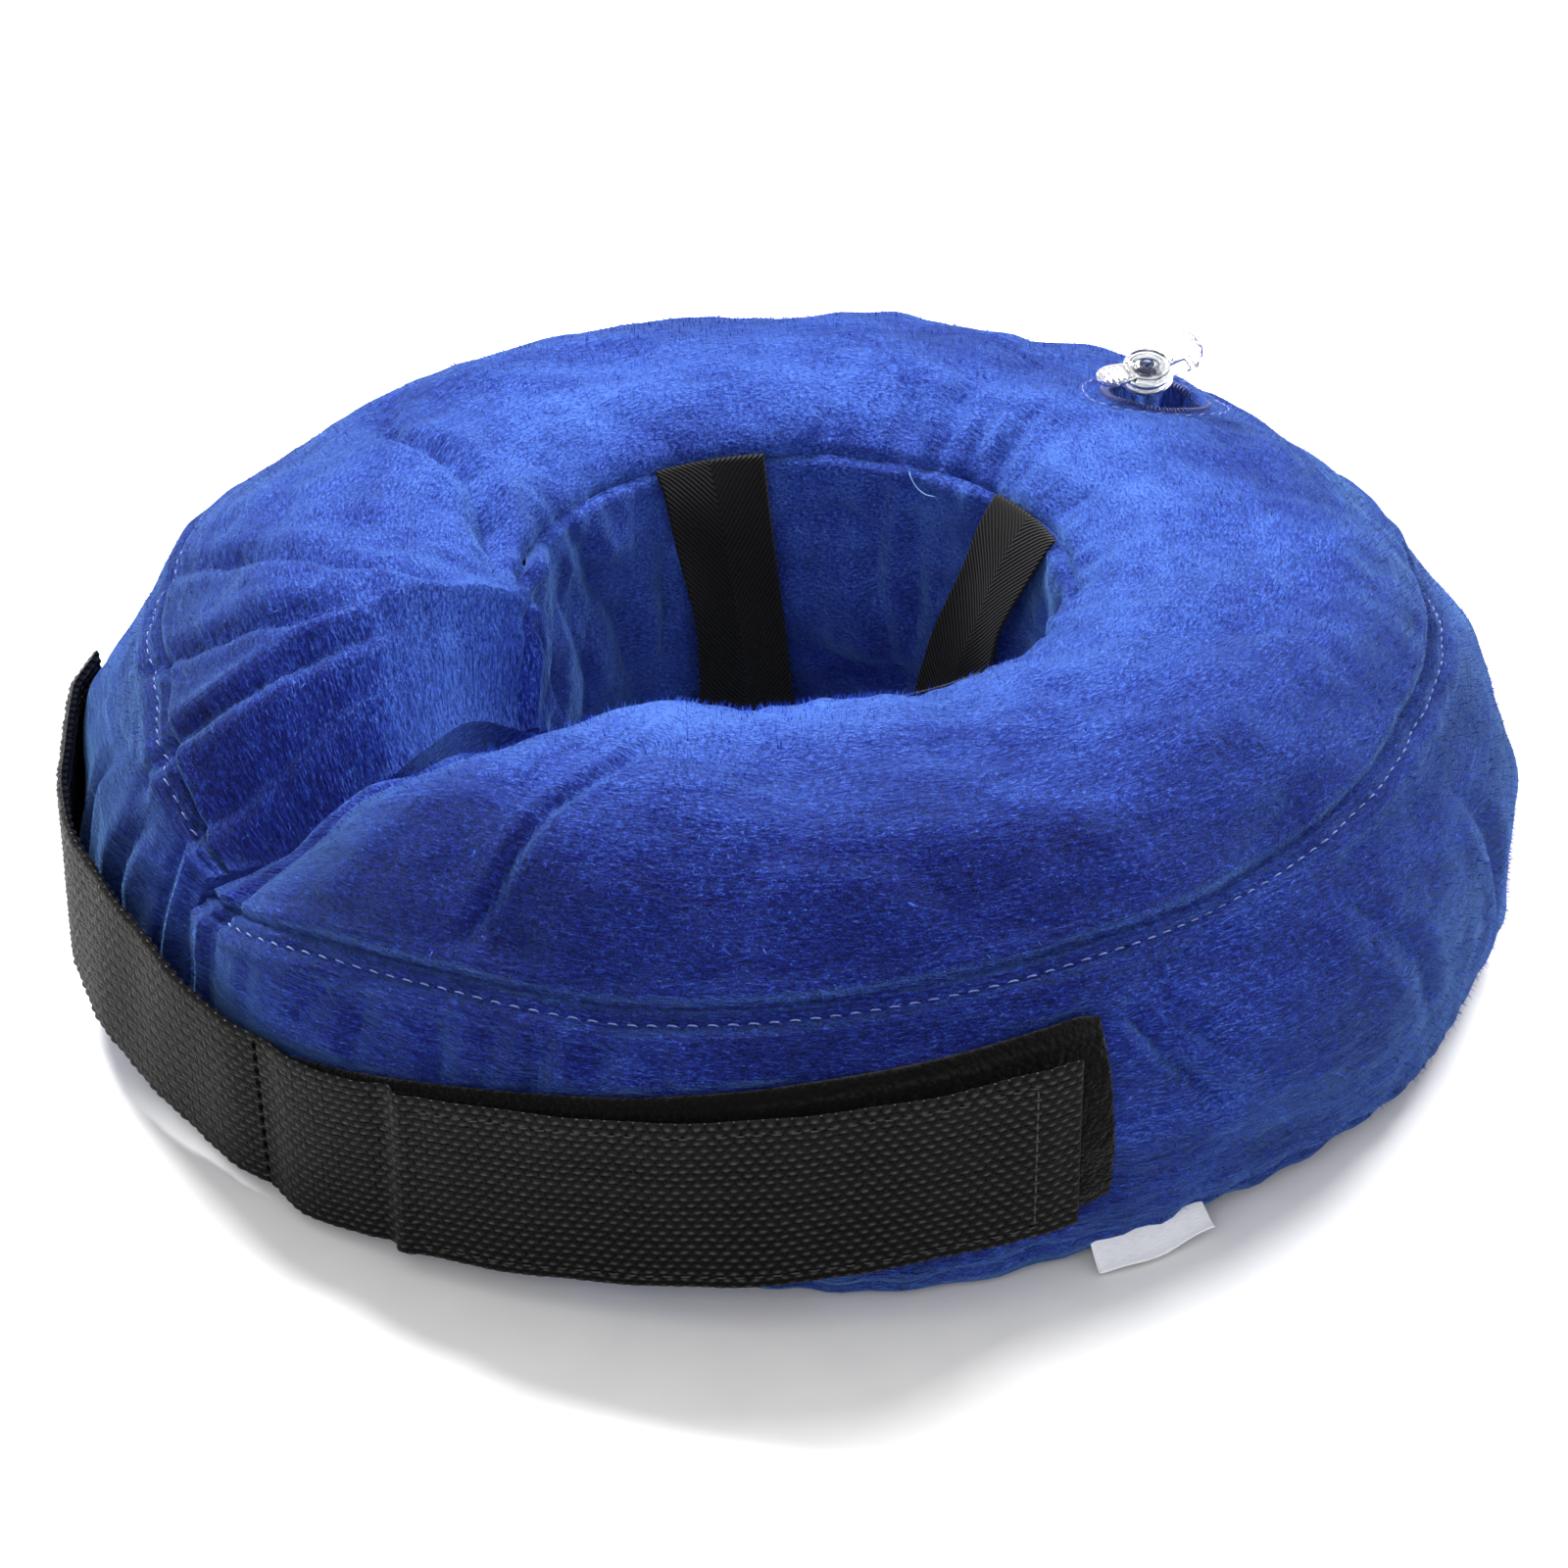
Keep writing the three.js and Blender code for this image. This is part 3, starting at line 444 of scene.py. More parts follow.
# ---- Materials ----
class Nodes:
    """A short way to add and join shader nodes."""

    def __init__(self, name):
        self.material = bpy.data.materials.new(name)
        self.material.use_nodes = True
        self.tree = self.material.node_tree
        self.shader = self.tree.nodes["Principled BSDF"]

    def add(self, kind, inputs=None, **settings):
        node = self.tree.nodes.new("ShaderNode" + kind)
        for key, value in settings.items():
            setattr(node, key, value)
        for key, value in (inputs or {}).items():
            self.put(node.inputs[key], value)
        return node

    def put(self, socket, value):
        if isinstance(value, bpy.types.NodeSocket):
            self.tree.links.new(value, socket)
        else:
            socket.default_value = value

    def math(self, operation, *values):
        node = self.add("Math", operation=operation)
        for socket, value in zip(node.inputs, values):
            self.put(socket, value)
        return node.outputs[0]

    def uv(self, scale):
        place = self.add("TexCoord").outputs["UV"]
        return self.add("Mapping", {"Vector": place, "Scale": (*scale, 1)}).outputs[0]

    def set(self, **constants):
        for key, value in constants.items():
            self.shader.inputs[key.replace("_", " ")].default_value = value

    def join(self, name, value):
        self.put(self.shader.inputs[name], value)

    def split_uv(self):
        split = self.add("SeparateXYZ", {"Vector": self.add("TexCoord").outputs["UV"]})
        return split.outputs["X"], split.outputs["Y"]

    def noise(self, vector, scale, detail=3.0, roughness=0.55):
        inputs = {"Vector": vector, "Scale": scale, "Detail": detail, "Roughness": roughness}
        return self.add("TexNoise", inputs).outputs["Fac"]

    def ramp(self, value, stops):
        node = self.add("ValToRGB", {"Fac": value})
        ramp = node.color_ramp
        while len(ramp.elements) < len(stops):
            ramp.elements.new(0.5)
        for element, (position, color) in zip(ramp.elements, stops):
            element.position = position
            element.color = (*color, 1)
        return node.outputs["Color"]

    def bump(self, height, distance, strength=1.0, normal=None):
        node = self.add("Bump", {"Height": height, "Distance": distance, "Strength": strength})
        if normal is not None:
            self.put(node.inputs["Normal"], normal)
        return node.outputs["Normal"]


def plush_material():
    n = Nodes("plush")
    streaks = n.noise(n.uv((560, 1700)), 1.0, 5.0, 0.75)
    grain = n.noise(n.uv((1700, 4200)), 1.0, 2.0, 0.6)
    patches = n.noise(n.uv((9, 15)), 1.0, 3.0, 0.6)
    brushed = n.noise(n.uv((46, 120)), 1.0, 4.0, 0.62)
    value = n.math("ADD", n.math("MULTIPLY", streaks, 0.50), n.math("MULTIPLY", patches, 0.16))
    value = n.math("ADD", value, n.math("MULTIPLY", brushed, 0.11))
    value = n.math("ADD", value, n.math("MULTIPLY", grain, 0.30))
    # Painted highlight and painted shade by place on the section, standing in for the sheen of the nap:
    # lightest just out from the rim of the neck, darkest at the upper seam.
    height = n.math("MULTIPLY", n.split_uv()[1], 1 / 0.33)
    painted_light_tones = [(0.0, 0.75), (0.06, 0.95), (0.15, 0.5), (0.25, 0.22), (0.34, 0.30), (0.9, 0.6)]
    nap_and_painted_light = n.ramp(height, [(at, (tone,) * 3) for at, tone in painted_light_tones])
    value = n.math("ADD", n.math("SUBTRACT", value, 0.092), n.math("MULTIPLY", nap_and_painted_light, 0.115))
    color = n.ramp(value, [
        (0.38, (0.0022, 0.0022, 0.036)),
        (0.46, (0.0075, 0.0110, 0.170)),
        (0.52, (0.0180, 0.0400, 0.400)),
        (0.60, (0.1200, 0.2700, 0.950)),
    ])
    n.join("Base Color", color)
    n.set(
        Roughness=0.9, Specular_IOR_Level=0.12, Sheen_Weight=1.0, Sheen_Roughness=0.30,
        Sheen_Tint=(0.22, 0.50, 1.0, 1),
    )
    pile = n.bump(streaks, 0.0020, 1.0)
    pile = n.bump(grain, 0.0009, 1.0, pile)
    n.join("Normal", n.bump(brushed, 0.0040, 0.6, pile))
    return n.material


def webbing_material():
    """Coarse basket weave, u along the webbing and v across it; the floats of each row are staggered."""
    n = Nodes("webbing")
    u, v = n.split_uv()
    rows = n.math("MULTIPLY", v, 1000 / WEAVE_ACROSS)
    row = n.math("FLOOR", rows)
    along = n.math("ADD", n.math("MULTIPLY", u, 1000 / WEAVE_ALONG), n.math("MULTIPLY", row, 0.5))
    high = n.math("MULTIPLY", n.math("SINE", n.math("MULTIPLY", n.math("FRACT", along), math.pi)),
                  n.math("SINE", n.math("MULTIPLY", n.math("FRACT", rows), math.pi)))
    fibres = n.noise(n.uv((700, 5200)), 1.0, 2.0, 0.5)
    wear = n.noise(n.uv((90, 160)), 1.0, 3.0, 0.6)
    value = n.math("ADD", n.math("MULTIPLY", high, 0.66), n.math("MULTIPLY", fibres, 0.20))
    value = n.math("ADD", value, n.math("MULTIPLY", wear, 0.16))
    # Painted shade and painted highlight: the colour goes to black in the gaps between the floats and
    # lighter on the floats' tops.
    color = n.ramp(value, [
        (0.36, (0.0001,) * 3), (0.60, (0.0030, 0.0030, 0.0031)), (0.84, (0.0360, 0.0360, 0.0340)),
    ])
    n.join("Base Color", color)
    n.set(Roughness=0.46, Specular_IOR_Level=0.16)
    n.join("Normal", n.bump(high, 0.0016, 1.0, n.bump(fibres, 0.00025, 0.5)))
    return n.material


def herringbone_material(name, dark, light, pitch=1.5):
    """Tape woven in a herringbone: u runs along the tape and v across it, in metres."""
    n = Nodes(name)
    u, v = n.split_uv()
    slant = n.math("ADD", u, n.math("MULTIPLY", n.math("ABSOLUTE", v), 1.25))
    wave = n.math("SINE", n.math("MULTIPLY", slant, 2 * math.pi * 1000 / pitch))
    rib = n.math("MULTIPLY_ADD", wave, 0.5, 0.5)
    fuzz = n.noise(n.uv((1600, 1600)), 1.0, 2.0)
    value = n.math("ADD", n.math("MULTIPLY", rib, 0.7), n.math("MULTIPLY", fuzz, 0.3))
    n.join("Base Color", n.ramp(value, [(0.2, dark), (0.85, light)]))
    n.set(Roughness=0.7, Specular_IOR_Level=0.12, Sheen_Weight=0.04)
    n.join("Normal", n.bump(value, 0.0005, 0.8))
    return n.material


def fuzzy_tape_material(name, tone):
    n = Nodes(name)
    loops = n.add("TexVoronoi", {"Vector": n.uv((900, 1200)), "Scale": 1.0}).outputs["Distance"]
    fuzz = n.noise(n.uv((1500, 1500)), 1.0, 3.0, 0.7)
    value = n.math("ADD", n.math("MULTIPLY", loops, 0.6), n.math("MULTIPLY", fuzz, 0.4))
    n.join("Base Color", n.ramp(value, [(0.2, (tone * 2.2,) * 3), (0.7, (tone,) * 3)]))
    n.set(Roughness=0.9, Specular_IOR_Level=0.1, Sheen_Weight=0.08)
    n.join("Normal", n.bump(value, 0.0009, 0.9))
    return n.material


def clear_material():
    n = Nodes("clear_vinyl")
    cloud = n.noise(n.uv((120, 120)), 1.0, 2.0)
    n.set(Base_Color=(0.80, 0.815, 0.83, 1))
    n.join("Roughness", n.ramp(cloud, [(0.3, (0.03,) * 3), (0.8, (0.10,) * 3)]))
    n.set(Transmission_Weight=1.0, IOR=1.46)
    n.join("Normal", n.bump(cloud, 0.0002, 0.2))
    return n.material


def film_material():
    n = Nodes("bladder_film")
    cloud = n.noise(n.uv((60, 60)), 1.0, 2.0)
    n.join("Base Color", n.ramp(cloud, [(0.3, (0.62, 0.66, 0.7)), (0.8, (0.8, 0.83, 0.86))]))
    n.set(Roughness=0.3)
    n.join("Normal", n.bump(cloud, 0.0004, 0.2))
    return n.material


def thread_material(name, color):
    n = Nodes(name)
    place = n.add("TexCoord").outputs["Object"]
    twist = n.add("TexWave", {"Vector": place, "Scale": 900.0, "Distortion": 2.0}).outputs["Fac"]
    darker = tuple(c * 0.55 for c in color)
    n.join("Base Color", n.ramp(twist, [(0.1, darker), (0.8, color)]))
    n.set(Roughness=0.5)
    n.join("Normal", n.bump(twist, 0.0001, 0.4))
    return n.material


def satin_material():
    n = Nodes("satin")
    weave = n.noise(n.uv((500, 4200)), 1.0, 2.0)
    n.join("Base Color", n.ramp(weave, [(0.2, (0.60, 0.61, 0.66)), (0.8, (0.82, 0.83, 0.88))]))
    n.set(Roughness=0.34, Anisotropic=0.5, Sheen_Weight=0.2)
    n.join("Normal", n.bump(weave, 0.0001, 0.4))
    return n.material


def metal_material():
    n = Nodes("zip_metal")
    scratch = n.noise(n.add("TexCoord").outputs["Object"], 900.0, 3.0)
    n.set(Metallic=1.0)
    n.join("Base Color", n.ramp(scratch, [(0.3, (0.36, 0.37, 0.39)), (0.8, (0.56, 0.57, 0.59))]))
    n.join("Roughness", n.ramp(scratch, [(0.3, (0.22,) * 3), (0.8, (0.42,) * 3)]))
    return n.material


def plastic_material():
    n = Nodes("zip_coil")
    grain = n.noise(n.add("TexCoord").outputs["Object"], 1500.0, 2.0)
    n.join("Base Color", n.ramp(grain, [(0.3, (0.004, 0.010, 0.10)), (0.8, (0.010, 0.028, 0.22))]))
    n.set(Roughness=0.38)
    return n.material


PLUSH = plush_material()
WEBBING = webbing_material()
TWILL = herringbone_material("twill_tape", (0.0008, 0.0008, 0.0010), (0.0075, 0.0075, 0.0080))
ZIP_CLOTH = herringbone_material("zip_cloth", (0.003, 0.006, 0.07), (0.010, 0.022, 0.17), 1.0)
LOOP_PILE = fuzzy_tape_material("loop_tape", 0.0012)
HOOK_PILE = fuzzy_tape_material("hook_tape", 0.0012)
CLEAR = clear_material()
FILM = film_material()
THREAD = thread_material("thread", (0.010, 0.020, 0.17))
SEAM_THREAD = thread_material("seam_thread", (0.14, 0.20, 0.55))
PALE_THREAD = thread_material("pale_thread", (0.25, 0.50, 0.85))
BLACK_THREAD = thread_material("black_thread", (0.0035, 0.0035, 0.004))
SATIN = satin_material()
METAL = metal_material()
COIL = plastic_material()


# ---- The plush cover ----
def panel(name, first_seam, second_seam, columns, rows, nodes):
    """One panel of the cover, from seam to seam, with its edges turned in at both."""
    share = np.linspace(0, 1, columns)
    away = 9 / (LAST - FIRST)
    angles = FIRST + (LAST - FIRST) * (share - away * 0.55 * np.sin(2 * np.pi * share) / (2 * np.pi))
    fine = np.linspace(0, 1, rows)
    fine = fine - 0.55 * np.sin(2 * np.pi * fine) / (2 * np.pi) * 0.6
    first = first_seam(angles)[:, None]
    second = second_seam(angles)[:, None]
    s = first + (second - first) * fine
    grid_angles = np.repeat(angles[:, None], rows, 1)
    points = surface(grid_angles, s)
    inward = []
    for edge in (0, -1):
        normal = at_distance(s[:, edge], NORMAL)
        shift = polar(normal[:, 0], angles, normal[:, 1]) * 3.0
        inward.append((points[:, edge] - shift)[:, None])
    points = np.concatenate([inward[0], points, inward[1]], 1)
    points[..., 2] = np.maximum(points[..., 2], 0.0)
    wide_s = np.concatenate([s[:, :1] - 3, s, s[:, -1:] + 3], 1)
    uv = np.stack([np.repeat(angles[:, None], rows + 2, 1) * D * 0.115, wide_s * 0.001], -1)
    made = make_object(name, points.reshape(-1, 3), grid_faces(columns, rows + 2), PLUSH, uv.reshape(-1, 2))
    follow_ring(made)
    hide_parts(*nodes)
    return made


def fixed(name):
    return lambda angle: SEAMS[name] + 0 * angle


def upper_seam(angle):
    return SEAMS["upper"] + drift(angle)


panel("cover_top", fixed("rim"), upper_seam, 600, 92, ["top_panel_left", "top_panel_right"])
panel("cover_outer_band", upper_seam, fixed("lower"), 600, 56, ["outer_panel_left", "outer_panel_right"])
panel("cover_bottom", fixed("lower"), fixed("inner"), 330, 34, ["bottom_panel_left", "bottom_panel_right"])
panel(
    "cover_neck_wall", fixed("inner"), lambda a: PERIMETER + 0 * a, 420, 60,
    ["neck_panel_left", "neck_panel_right"],
)


def end_panel(name, angle, outward, body, node):
    """The flat panel that closes an end of the ring, puckered and slightly domed."""
    around = 220
    s = np.linspace(0, PERIMETER, around, endpoint=False)
    rim = surface(np.full(around, angle), s)
    radius, z = np.hypot(rim[:, 0], rim[:, 1]), rim[:, 2]
    middle = (105.0, 29.0)
    sizes = np.linspace(1, 0.03, 30)
    rows, uv = [], []
    for size in sizes:
        r = middle[0] + (radius - middle[0]) * size
        h = middle[1] + (z - middle[1]) * size
        pucker = 0.10 * np.sin(s * 2 * np.pi / 21 + 5 * size) * np.exp(-((1 - size) / 0.35))
        turn = angle + split_shift(at_distance(s, LOOP)[:, 0] * size + middle[0] * (1 - size), angle)
        turn = turn + outward * (0.22 * (1 - size ** 2) + pucker * (1 - size) * 3)
        rows.append(polar(r, turn, np.maximum(h, 0.0)))
        uv.append(np.stack([r, h], -1) * 0.001)
    faces = grid_faces(len(sizes), around, closed_columns=True)
    if outward > 0:
        faces = faces[:, ::-1]
    centre = len(sizes) * around
    last = (len(sizes) - 1) * around
    fan = [
        [centre, last + (k + (outward < 0)) % around, last + (k + (outward > 0)) % around]
        for k in range(around)
    ]
    tip = polar(np.array([middle[0]]), np.array([angle + outward * 0.22]), middle[1])
    points = np.concatenate(rows + [tip])
    uv = np.concatenate(uv + [np.array([middle]) * 0.001])
    made = make_object(name, points, [*faces.tolist(), *fan], PLUSH, uv)
    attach(made, body)
    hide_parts(node)


end_panel("cover_end_left", LAST, 1, "ring_left", "end_panel_left")
end_panel("cover_end_right", FIRST, -1, "ring_right", "end_panel_right")


# ---- Pieces made of a strip, of stitches or of a turned profile ----
def pillow_strip(name, rows, columns, place, thickness, material, back_columns=None, face_bump=None):
    """A closed strip, u along and v across, 0 to 1.

    place(u, v) gives its middle surface, its outward direction, its length and its width.
    """
    back_columns = back_columns or columns
    u = np.linspace(0, 1, rows)
    parts, uvs = [], []
    for side, count in ((1, columns), (-1, back_columns)):
        even = np.linspace(0, 1, count)
        v = 0.25 * (0.5 - 0.5 * np.cos(np.pi * even)) + 0.75 * even
        grid_u, grid_v = np.meshgrid(u, v, indexing="ij")
        middle, out, length, width = place(grid_u, grid_v)
        edge_v = np.clip(np.minimum(grid_v, 1 - grid_v) * width / (0.6 * thickness), 0, 1)
        edge_u = np.clip(np.minimum(grid_u, 1 - grid_u) * length / (0.6 * thickness), 0, 1)
        full = np.sqrt(1 - (1 - edge_v) ** 2) * np.sqrt(1 - (1 - edge_u) ** 2)
        lift = 0.5 * thickness * full
        if face_bump is not None:
            lift = lift + face_bump(grid_u * length, grid_v * width, side) * full
        points = middle + out * (side * lift)[..., None]
        coordinates = np.stack([grid_u * length, (grid_v - 0.5) * width], -1) * 0.001
        if side < 0:
            points, coordinates = points[:, ::-1][:, 1:-1], coordinates[:, ::-1][:, 1:-1]
        parts.append(points)
        uvs.append(coordinates)
    points, coordinates = np.concatenate(parts, 1), np.concatenate(uvs, 1)
    faces = grid_faces(rows, points.shape[1], closed_columns=True)
    made = make_object(name, points.reshape(-1, 3), faces, material, coordinates.reshape(-1, 2))
    return made, np.repeat(u, points.shape[1])


def capsules(name, centers, along, out, length, thick, material, dip=0.5, sides=6):
    """Short rounded threads lying along a surface, with their ends dipping into it."""
    centers, along, out = [np.asarray(x, float) for x in (centers, along, out)]
    along = along / np.linalg.norm(along, axis=1)[:, None]
    side = np.cross(along, out)
    side /= np.linalg.norm(side, axis=1)[:, None]
    t = np.array([-1, -0.86, -0.5, 0, 0.5, 0.86, 1.0])
    size = thick * np.array([0.12, 0.75, 1, 1.05, 1, 0.75, 0.12])
    turn = np.linspace(0, 2 * np.pi, sides, endpoint=False)
    n, rings = len(centers), len(t)
    ahead, down = (t * length / 2)[None, :, None], (dip * t ** 4)[None, :, None]
    spine = centers[:, None] + along[:, None] * ahead - out[:, None] * down
    cos, sin = np.cos(turn)[None, None, :, None], np.sin(turn)[None, None, :, None]
    ring = cos * side[:, None, None] + sin * out[:, None, None]
    points = spine[:, :, None] + ring * size[None, :, None, None]
    one = grid_faces(rings, sides, closed_columns=True)
    faces = np.concatenate([one + k * rings * sides for k in range(n)])
    made = make_object(name, points.reshape(-1, 3), faces, material)
    return made, np.repeat(np.arange(n), rings * sides)


def frames_on_surface(angle, s, lift=0.25):
    """Points on the cover with the directions along the ring and out of the surface."""
    here, ahead, up = surface(angle, s), surface(angle + 0.25, s), surface(angle, s + 0.6)
    along, across = ahead - here, up - here
    out = np.cross(across, along)
    out /= np.linalg.norm(out, axis=-1)[..., None]
    return here + out * lift, along, out, across


def turned(profile, segments=64):
    """The points and faces of a closed profile of (radius, height), turned round +Z."""
    profile = np.array(profile, float)
    turn = np.linspace(0, 2 * np.pi, segments, endpoint=False)
    points = np.stack([
        profile[:, 0][None] * np.cos(turn)[:, None], profile[:, 0][None] * np.sin(turn)[:, None],
        np.repeat(profile[:, 1][None], segments, 0)], -1).reshape(-1, 3)
    faces = grid_faces(segments, len(profile), closed_rows=True, closed_columns=True)
    return points, faces


def rounded(corners, radius=0.3, steps=3):
    """A closed outline with each corner rounded."""
    made = []
    p = np.array(corners, float)
    for k in range(len(p)):
        before, here, after = p[k - 1], p[k], p[(k + 1) % len(p)]
        r = min(radius, 0.45 * np.linalg.norm(before - here), 0.45 * np.linalg.norm(after - here))
        if r < 0.02 or here[0] < 0.01:
            made.append(here)
            continue
        a = here + (before - here) / np.linalg.norm(before - here) * r
        b = here + (after - here) / np.linalg.norm(after - here) * r
        for t in np.linspace(0, 1, steps + 1):
            made.append((1 - t) ** 2 * a + 2 * t * (1 - t) * here + t * t * b)
    return made


# ---- The closure strap ----
STRAP_EDGES = np.array([
    (226, 15, 53), (240, 14.5, 52.5), (262, 13, 51), (270, 10.5, 48), (276, 8, 46), (284, 4.6, 41.5),
    (291, 2.4, 38.2), (297, 2.0, 38.5), (304, 4.2, 41), (318, 7, 44.6), (331, 10, 48),
    (343, 15, 52.4), (352.5, 18.5, 56),
])
STRAP_RADIUS = 158.4


def edges_at(table, angle):
    """The lower and upper edge of a band at ring angles, smoothed over a few degrees."""
    return [sum(np.interp(angle + off, table[:, 0], table[:, k]) for off in (-3, 0, 3)) / 3 for k in (1, 2)]


def weave(u, v, side):
    """Floats of coarse basket-woven webbing, in step with the webbing's material."""
    row = np.floor(v / WEAVE_ACROSS)
    fu = np.mod(u / WEAVE_ALONG + 0.5 * np.mod(row, 2), 1)
    fv = np.mod(v / WEAVE_ACROSS, 1)
    uneven = 0.8 + 0.2 * np.sin(row * 2.7 + np.floor(u / WEAVE_ALONG) * 1.9)
    return 0.7 * np.sin(np.pi * fu) ** 0.8 * np.sin(np.pi * fv) ** 0.7 * uneven - 0.2


def strap_surface(first, last, bulge):
    def place(u, v):
        angle = first + (last - first) * u
        low, high = edges_at(STRAP_EDGES, angle)
        z = low + (high - low) * v
        radius = STRAP_RADIUS + bulge(angle, v)
        out = outward(angle)
        length = (last - first) * D * STRAP_RADIUS
        return polar(radius, angle, z), out, length, 38.0
    return place


def strap_bulge(angle, v):
    """The webbing's stand-off: bowed out over the split, dipped at its crease, doubled past the step."""
    bow = 1.3 * bell(angle, 266, 11) - 1.4 * bell(angle, 291, 2.0) + 0.8 * bell(angle, 296, 3.5)
    lean = (v - 0.5) * (2.2 * bell(angle, 287, 8))
    step = 1.0 * smooth_step((angle - 302.9) / 0.7) - 0.8 * bell(angle, 302.2, 1.0)
    fold = 0.9 * bell(angle, 304.1, 0.9) + 0.45 * bell(angle, 349.6, 0.9)
    ripple = 0.25 * np.sin(angle * 0.31 + 2 * v) + 0.2 * np.sin(angle * 0.73 - 3 * v)
    return bow + lean + step + fold + ripple


def root_bulge(angle, v):
    """The sewn root lies on the outer band, and the webbing leaves it towards the split."""
    free = smooth_step((angle - 246) / 16)
    sewn = -2.6 - 2.4 * (1 - smooth_step((angle - FIRST_LENGTH[0]) / 6))
    return sewn * (1 - free) + strap_bulge(angle, v) * free


OUTER_S = np.linspace(SEAMS["upper"] - 8, SEAMS["lower"] + 1, 200)
OUTER_Z = at_distance(OUTER_S, LOOP)[:, 1]

FIRST_LENGTH = (237.5, 290.5)
SECOND_LENGTH = (290.5, 352.0)
HOOK_SPAN = (305.5, 350.3)
# The spans of angle round the webbing's root and round its peel line.
ROOT_BEND = (240.5, 249)
PEEL_BEND = (299, 308)


def follow_joint(piece, a, b, angles, start, end):
    """Bakes the piece's transform into its mesh."""
    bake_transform(piece)


def webbing_piece(name, span, bulge, pair, bend_span, nodes):
    first, last = span
    rows = int((last - first) * D * STRAP_RADIUS / 0.44)
    place = strap_surface(first, last, bulge)
    made, u = pillow_strip(name, rows, 104, place, 1.7, WEBBING, back_columns=40, face_bump=weave)
    follow_joint(made, *pair, first + (last - first) * u, *bend_span)
    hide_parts(*nodes)


webbing_piece(
    "strap_first_length", FIRST_LENGTH, root_bulge, ("ring_left", "strap"), ROOT_BEND,
    ["strap_root", "strap_webbing"],
)
webbing_piece(
    "strap_second_length", SECOND_LENGTH, strap_bulge, ("strap", "strap_end"), PEEL_BEND,
    ["strap_end_webbing"],
)


def hook_tape():
    first, last = HOOK_SPAN

    def place(u, v):
        angle = first + (last - first) * u
        low, high = edges_at(STRAP_EDGES, angle)
        z = low + 1.6 + (high - low - 3.2) * v
        radius = STRAP_RADIUS + strap_bulge(angle, v) - 1.75
        return polar(radius, angle, z), outward(angle), (last - first) * D * 157, 34.5

    def hooks(u, v, side):
        return 0.32 * (np.sin(u * 2 * np.pi / 1.3) * np.sin(v * 2 * np.pi / 1.3) > 0.25) * (side < 0)

    made, u = pillow_strip(
        "hook_tape_strip", 300, 30, place, 0.9, HOOK_PILE, back_columns=84, face_bump=hooks,
    )
    follow_joint(made, "strap", "strap_end", first + (last - first) * u, *PEEL_BEND)
    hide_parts("hook_tape")


def loop_patch():
    def place(u, v):
        angle = -75.2 + (-4.9 + 75.2) * u
        corner = 1.4 * smooth_step((u - 0.975) / 0.025)
        low, high = edges_at(PATCH_EDGES, angle + 360)
        z = low + corner + (high - low - 1.6 * corner) * v
        s = np.interp(-z, -OUTER_Z, OUTER_S)
        around = [surface(angle + off, s + up, 1.1) for off in (-1.6, 0, 1.6) for up in (-2.5, 0, 2.5)]
        points = sum(around) / len(around)
        level = np.interp(z, PATCH_LEVEL[0], PATCH_LEVEL[1])
        flat = np.linalg.norm(points[..., :2], axis=-1)
        radius = 0.35 * np.clip(flat, level, level + 1.6) + 0.65 * (level + 0.7)
        placed = polar(radius, angle, z)
        return placed, outward(angle), 70.3 * D * 156, 38.0

    def loops(u, v, side):
        inside = smooth_step((v - 2.2) / 0.8) * smooth_step((36 - v) / 0.8)
        tuft = np.sin(u * 5.1 + 2 * np.sin(v * 3.3)) * np.sin(v * 4.3 + 2 * np.sin(u * 2.9))
        return (0.55 * inside + 0.32 * tuft * inside) * (side > 0)

    made, u = pillow_strip(
        "loop_patch_strip", 420, 90, place, 1.0, LOOP_PILE, back_columns=24, face_bump=loops,
    )
    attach(made, "ring_right")
    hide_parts("loop_patch")


hook_tape()
loop_patch()


# ---- The tape loops on the neck wall ----
def neck_loop(name, middle_top, middle_low, body, node):
    line = np.array([
        (57.6, 79.6), (53.9, 75), (50.6, 66), (47.6, 54), (46.4, 42), (46.9, 30), (50.4, 18), (55.6, 9.5),
    ])
    t = lengths_along(line)

    def place(u, v):
        r, z = [eased(u * t[-1], t, line[:, k], 4) for k in (0, 1)]
        middle = middle_top + (middle_low - middle_top) * smooth_step(u)
        x = (v - 0.5) * 25
        wave = 0.8 * np.sin(u * 7 + middle_top) * np.cos(v * 3) + 0.5 * np.sin(u * 15 + v * 4)
        angle = middle + x / 55.0 / D
        radius = r + wave * np.sin(np.pi * u) + 0.4 * (1 - np.sin(np.pi * u))
        before, after = [eased(u * t[-1] + off, t, line[:, 0], 4) for off in (-1, 1)]
        out = polar(-np.cos(np.arctan2(after - before, 2.0)), angle, 0)
        return polar(radius, angle, z), out, t[-1], 25.0

    def ribs(u, v, side):
        return 0.07 * np.sin(2 * np.pi * (u + 1.25 * np.abs(v - 12.5)) / 1.5)

    made, u = pillow_strip(name, 190, 64, place, 1.1, TWILL, back_columns=30, face_bump=ribs)
    if body == "blend":
        follow_ring(made)
    else:
        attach(made, body)
    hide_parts(node)


neck_loop("tape_loop_left", 173, 166, "ring_left", "neck_loop_left")
neck_loop("tape_loop_back", 90, 109, "blend", "neck_loop_back")
neck_loop("tape_loop_right", 0, -3, "ring_right", "neck_loop_right")


